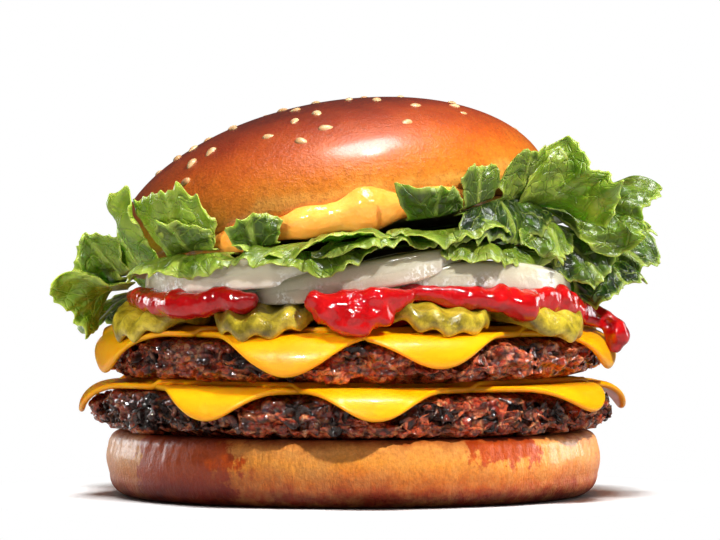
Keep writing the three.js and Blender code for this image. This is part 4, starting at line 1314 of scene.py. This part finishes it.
# %% Where each point of a leaf lies
def leaf_point(leaf, number, u, v):
    tuck = LEAF_TUCK / 2 if leaf["level"] > 0.9 else LEAF_TUCK
    s = -tuck + (tuck + leaf_length(leaf, number, u, v)) * v
    out = np.maximum(0, s)
    free = out / leaf["length"]
    fan = 0.72 + 0.4 * np.minimum(1, free) + 0.05 * points_out(2.2 * v + 0.6 * number)
    bank = math.radians(leaf["bank"]) * smooth_step(free, 0, 0.75)
    across = u * leaf["width"] / 2 * fan
    angle = math.radians(leaf["azimuth"]) + across * np.cos(bank) / 55
    rim = rim_radius(angle)
    start, turn = math.radians(leaf["rise"]), math.radians(leaf["bend"]) / leaf["length"]
    pitch = start + turn * out
    radius = rim + np.minimum(0, s) + (np.sin(pitch) - math.sin(start)) / turn
    z = wedge_height(np.minimum(rim + s, rim), angle, leaf["level"])
    z = z + (math.cos(start) - np.cos(pitch)) / turn
    ruffle = ruffle_height(leaf, number, across, free, angle)
    normal = across * np.sin(bank) + ruffle * np.cos(bank)
    radius = radius - np.sin(pitch) * normal
    z = z + np.cos(pitch) * normal
    angle = angle - ruffle * np.sin(bank) / np.maximum(20, radius)
    return polar(radius, angle, z)


def sheet(front, back):
    """A closed thin solid between two equal grids of points."""
    rows, columns = front.shape[:2]
    points = np.concatenate([front.reshape(-1, 3), back.reshape(-1, 3)])
    row, column = np.meshgrid(np.arange(rows - 1), np.arange(columns - 1), indexing="ij")
    a = (row * columns + column).ravel()
    quads = np.stack([a, a + 1, a + columns + 1, a + columns], -1)
    shift = rows * columns
    edge = np.concatenate([
        np.arange(columns), np.arange(2, rows + 1) * columns - 1,
        shift - 2 - np.arange(columns - 1), np.arange(rows - 2, 0, -1) * columns,
    ])
    after = np.roll(edge, -1)
    walls = np.stack([after, edge, edge + shift, after + shift], -1)
    faces = np.concatenate([quads, quads[:, ::-1] + shift, walls])
    return points, faces.tolist()


sheet_faces = len(sheet(np.zeros((3, 3, 3)), np.zeros((3, 3, 3)))[1])
print("faces of a sheet of 2 by 2 squares:", sheet_faces)


# %% One leaf
def leaf_piece(number, leaf):
    columns, rows = 110, 46
    u, v = np.meshgrid(np.linspace(-1, 1, columns), np.linspace(0, 1, rows))
    middle = leaf_point(leaf, number, u, v)
    step = 0.004
    across = leaf_point(leaf, number, u + step, v) - leaf_point(leaf, number, u - step, v)
    along = leaf_point(leaf, number, u, v + step) - leaf_point(leaf, number, u, v - step)
    normal = unit(np.cross(across, along))
    half_width, length = leaf["width"] / 2, leaf["length"]
    side_mm, along_mm = u * half_width, v * length
    blister = smooth_noise(side_mm / 3.4 + 20, along_mm / 3.0, number * 2.3) - 0.5
    blister = blister + 0.45 * (smooth_noise(side_mm / 1.5, along_mm / 1.4, number * 1.3) - 0.5)
    middle = middle + normal * (BLISTER_HEIGHT * blister * smooth_step(v, 0.15, 0.5))[..., None]
    inside = np.minimum(np.minimum((1 - np.abs(u)) * half_width, (1 - v) * length), 1)
    thick = normal * (LEAF_THICKNESS / 2 * np.sqrt(0.15 + 0.85 * inside))[..., None]
    leaf_shape = shape(f"leaf_{number:02d}", *sheet(middle + thick, middle - thick))
    piece = dress(leaf_shape, blade, f"lettuce_{number:02d}")
    stored = {"across_mm": side_mm, "along_mm": along_mm, "margin": (1 - inside) * 0.8}
    for name, values in stored.items():
        store(piece, name, values, values)
    store(piece, "depth", np.full(2 * u.size, leaf["dark"]))


print("a leaf is", LEAF_THICKNESS, "mm thick, with blisters up to", BLISTER_HEIGHT / 2, "mm")

# %% All the leaves
# The last column, dark, is each leaf's share of the dark green: partly its own tone, partly painted
# shade.
LEAVES = table("azimuth width length level rise bend bank ruffle slant shift dark", (
    # left side and front left
    (-171, 22, 13, 0.0, -18, -35, 45, 1.8, 0, 0, 0.55),
    (-168, 17, 11.5, 0.55, 22, 5, 60, 2.4, 0, 1, 0.5),
    (-160, 14, 12, 0.95, 38, 10, 50, 2.2, 0, 1, 0.6),
    (-149, 20, 17, 1.0, 55, 30, -25, 2.4, 0.15, 2, 0.3),
    (-131, 20, 15.5, 1.0, 60, 20, 15, 2.0, -0.2, 0, 0.4),
    (-130, 16, 9, 1.0, 45, 20, 0, 1.8, -0.2, 0, 0.8),
    (-131, 32, 8, 0.0, -10, -60, 0, 2.4, 0, 1, 0.6),
    # front
    (-112, 13, 8, 1.0, 58, 20, 0, 1.5, 0, 2, 0.9),
    (-98, 40, 6.5, 0.6, 5, -30, 0, 1.6, 0, 0, 0.6),
    (-100, 34, 8, 0.0, -10, -50, 0, 2.4, -0.1, 1, 0.6),
    (-84, 30, 7, 0.35, 0, -45, 0, 1.8, 0, 1, 0.7),
    (-66, 36, 7.5, 0.5, 5, -50, 0, 1.9, 0.1, 2, 0.6),
    (-69, 20, 8, 0.95, 40, 30, 0, 1.4, -0.6, 0, 0.9),
    # front right
    (-52, 40, 9, 0.05, -5, -60, 0, 2.3, 0.2, 1, 0.6),
    (-56, 13, 9.5, 0.95, 65, 15, 0, 1.4, -0.2, 2, 0.8),
    (-48, 36, 11, 0.85, -35, -50, 0, 1.8, 0, 1, 1.0),
    (-42, 18, 14, 0.85, 55, 10, -30, 2.0, 0.2, 0, 0.65),
    (-33, 23, 21, 0.75, 15, 20, -70, 2.6, 0.1, 2, 0.3),
    (-36, 19, 14, 0.6, -25, -50, 20, 1.8, 0, 1, 0.75),
    (-17, 24, 25, 0.7, 5, -25, 60, 3.0, 0, 2, 0.75),
    (-8, 24, 25, 0.45, -5, -35, 65, 3.0, 0, 0, 0.9),
    (-23, 24, 18, 0.3, -10, -50, 40, 2.6, 0, 1, 0.9),
    (-14, 24, 22, 0.05, -10, -35, 45, 2.6, 0, 2, 1.0),
    (6, 26, 22, 0.7, 5, -40, 50, 3.0, 0, 1, 0.6),
    # back
    (22, 36, 20, 0.9, 10, -50, 30, 3.6, 0, 0, 0.7),
    (27, 36, 18, 0.2, -10, -60, 0, 3.0, 0, 1, 0.9),
    (51, 38, 18, 0.8, 5, -50, 25, 3.2, 0, 2, 0.6),
    (70, 38, 16, 0.1, -10, -60, 0, 2.8, 0, 0, 0.9),
    (93, 40, 16, 0.9, 10, -30, -20, 3.0, 0, 1, 0.6),
    (115, 38, 15, 0.0, -10, -60, 0, 2.8, 0, 2, 0.9),
    (139, 38, 18, 0.9, 20, 10, 20, 3.0, 0, 0, 0.5),
    (154, 32, 16, 0.0, -10, -50, 0, 2.6, 0, 1, 0.9),
))
for number, leaf in enumerate(LEAVES, 1):
    leaf_piece(number, leaf)

# %% Leaves that run through the middle
INNER_LEVELS = (0.2, 0.5, 0.8)
INNER_MARGIN = 11
INNER_STEP = 15


def inner_leaf(number, level):
    angles = full_circle(200)
    share = np.linspace(0.02, 1, 40)[:, None]
    short = INNER_STEP * (number - 1) * (1 - np.cos(angles)) / 2
    radius = share * (rim_radius(angles) - INNER_MARGIN - short)
    waves = np.sin(4 * angles + 2 * number + 3 * share) + 0.4 * np.sin(7 * angles + 5 * number)
    z = wedge_height(radius, angles, level) + 0.6 * waves * share
    middle = polar(radius, angles, z)
    half = np.array([0, 0, LEAF_THICKNESS / 2])
    rings = np.concatenate([middle - half, middle[::-1] + half])
    ring_piece(f"inner_leaf_{number}", rings, shaded_blade, f"lettuce_inner_{number}")


for number, level in enumerate(INNER_LEVELS, 1):
    inner_leaf(number, level)

# %% [markdown]
# ## The floor
# A wide white table takes the burger's soft shadow and fades into the pale background.

# %% Floor material, which fades into the surroundings
floor_finish = Finish("floor", Roughness=0.9)
is_seen = floor_finish.node("ShaderNodeLightPath").outputs["Is Camera Ray"]
table_white = floor_finish.mix(is_seen, (150, 146, 142), (245, 245, 245))
floor_finish.surface({"Base Color": table_white})
away = floor_finish.node("ShaderNodeVectorMath", {0: floor_finish.place}, operation="LENGTH")
away = floor_finish.spread(away.outputs["Value"], 0.062, 0.095)
white = floor_finish.node("ShaderNodeEmission", {"Color": (1, 1, 1, 1), "Strength": 1.0})
fade = floor_finish.node("ShaderNodeMixShader", {
    0: floor_finish.times(away, is_seen),
    1: floor_finish.tree.nodes["Principled BSDF"].outputs[0],
    2: white.outputs[0],
}).outputs[0]
floor_finish.wire(floor_finish.tree.nodes["Material Output"], {"Surface": fade})

# %% Floor
HALF_SIDE = 4.0
corners = [(x * HALF_SIDE, y * HALF_SIDE, 0) for x, y in ((-1, -1), (1, -1), (1, 1), (-1, 1))]
floor_mesh = bpy.data.meshes.new("floor")
floor_mesh.from_pydata(corners, [], [(0, 1, 2, 3)])
floor_mesh.materials.append(floor_finish.material)
floor = add_object("floor", floor_mesh)
print("floor side:", 2 * HALF_SIDE, "m")

# %% [markdown]
# ## Which lamp lights what
# A studio keeps the table white with a soft lamp of its own and lifts dull parts with a small
# one from the side. Light linking does the same without flags and mirrors.

# %% Each lamp and the starts of the names of its pieces
LIT_BY = {
    "side_lamp": ("leaf_0", "onion_ring_1", "gherkin_1", "cheese", "ketchup", "dressing"),
    "fill": ("bun", "leaf", "cheese", "onion", "ketchup", "gherkin", "dressing", "sesame"),
    "low_lamp": ("leaf_01", "onion_ring_1", "dressing"),
    "left_rim": ("leaf", "bun_heel", "beef_patty_lower", "onion", "ketchup"),
    "right_rim": ("leaf", "bun_heel", "beef_patty_upper", "onion", "ketchup"),
    "left_sparkle": ("beef", "cheese", "dressing", "ketchup"),
    "sparkle": ("leaf", "beef", "ketchup", "onion", "gherkin", "dressing"),
}


def lights_only(name, pieces):
    receivers = bpy.data.collections.new(name + "_receivers")
    for piece in pieces:
        receivers.objects.link(piece)
    lamps[name].light_linking.receiver_collection = receivers
    print(name, "lights pieces:", len(pieces))


pieces = [o for o in bpy.context.scene.objects if o.type == "MESH" and o != floor]
lights_only("floor_lamp", [floor])
lights_only("key", pieces)
for name, starts in LIT_BY.items():
    lights_only(name, [piece for piece in pieces if piece.name.startswith(starts)])
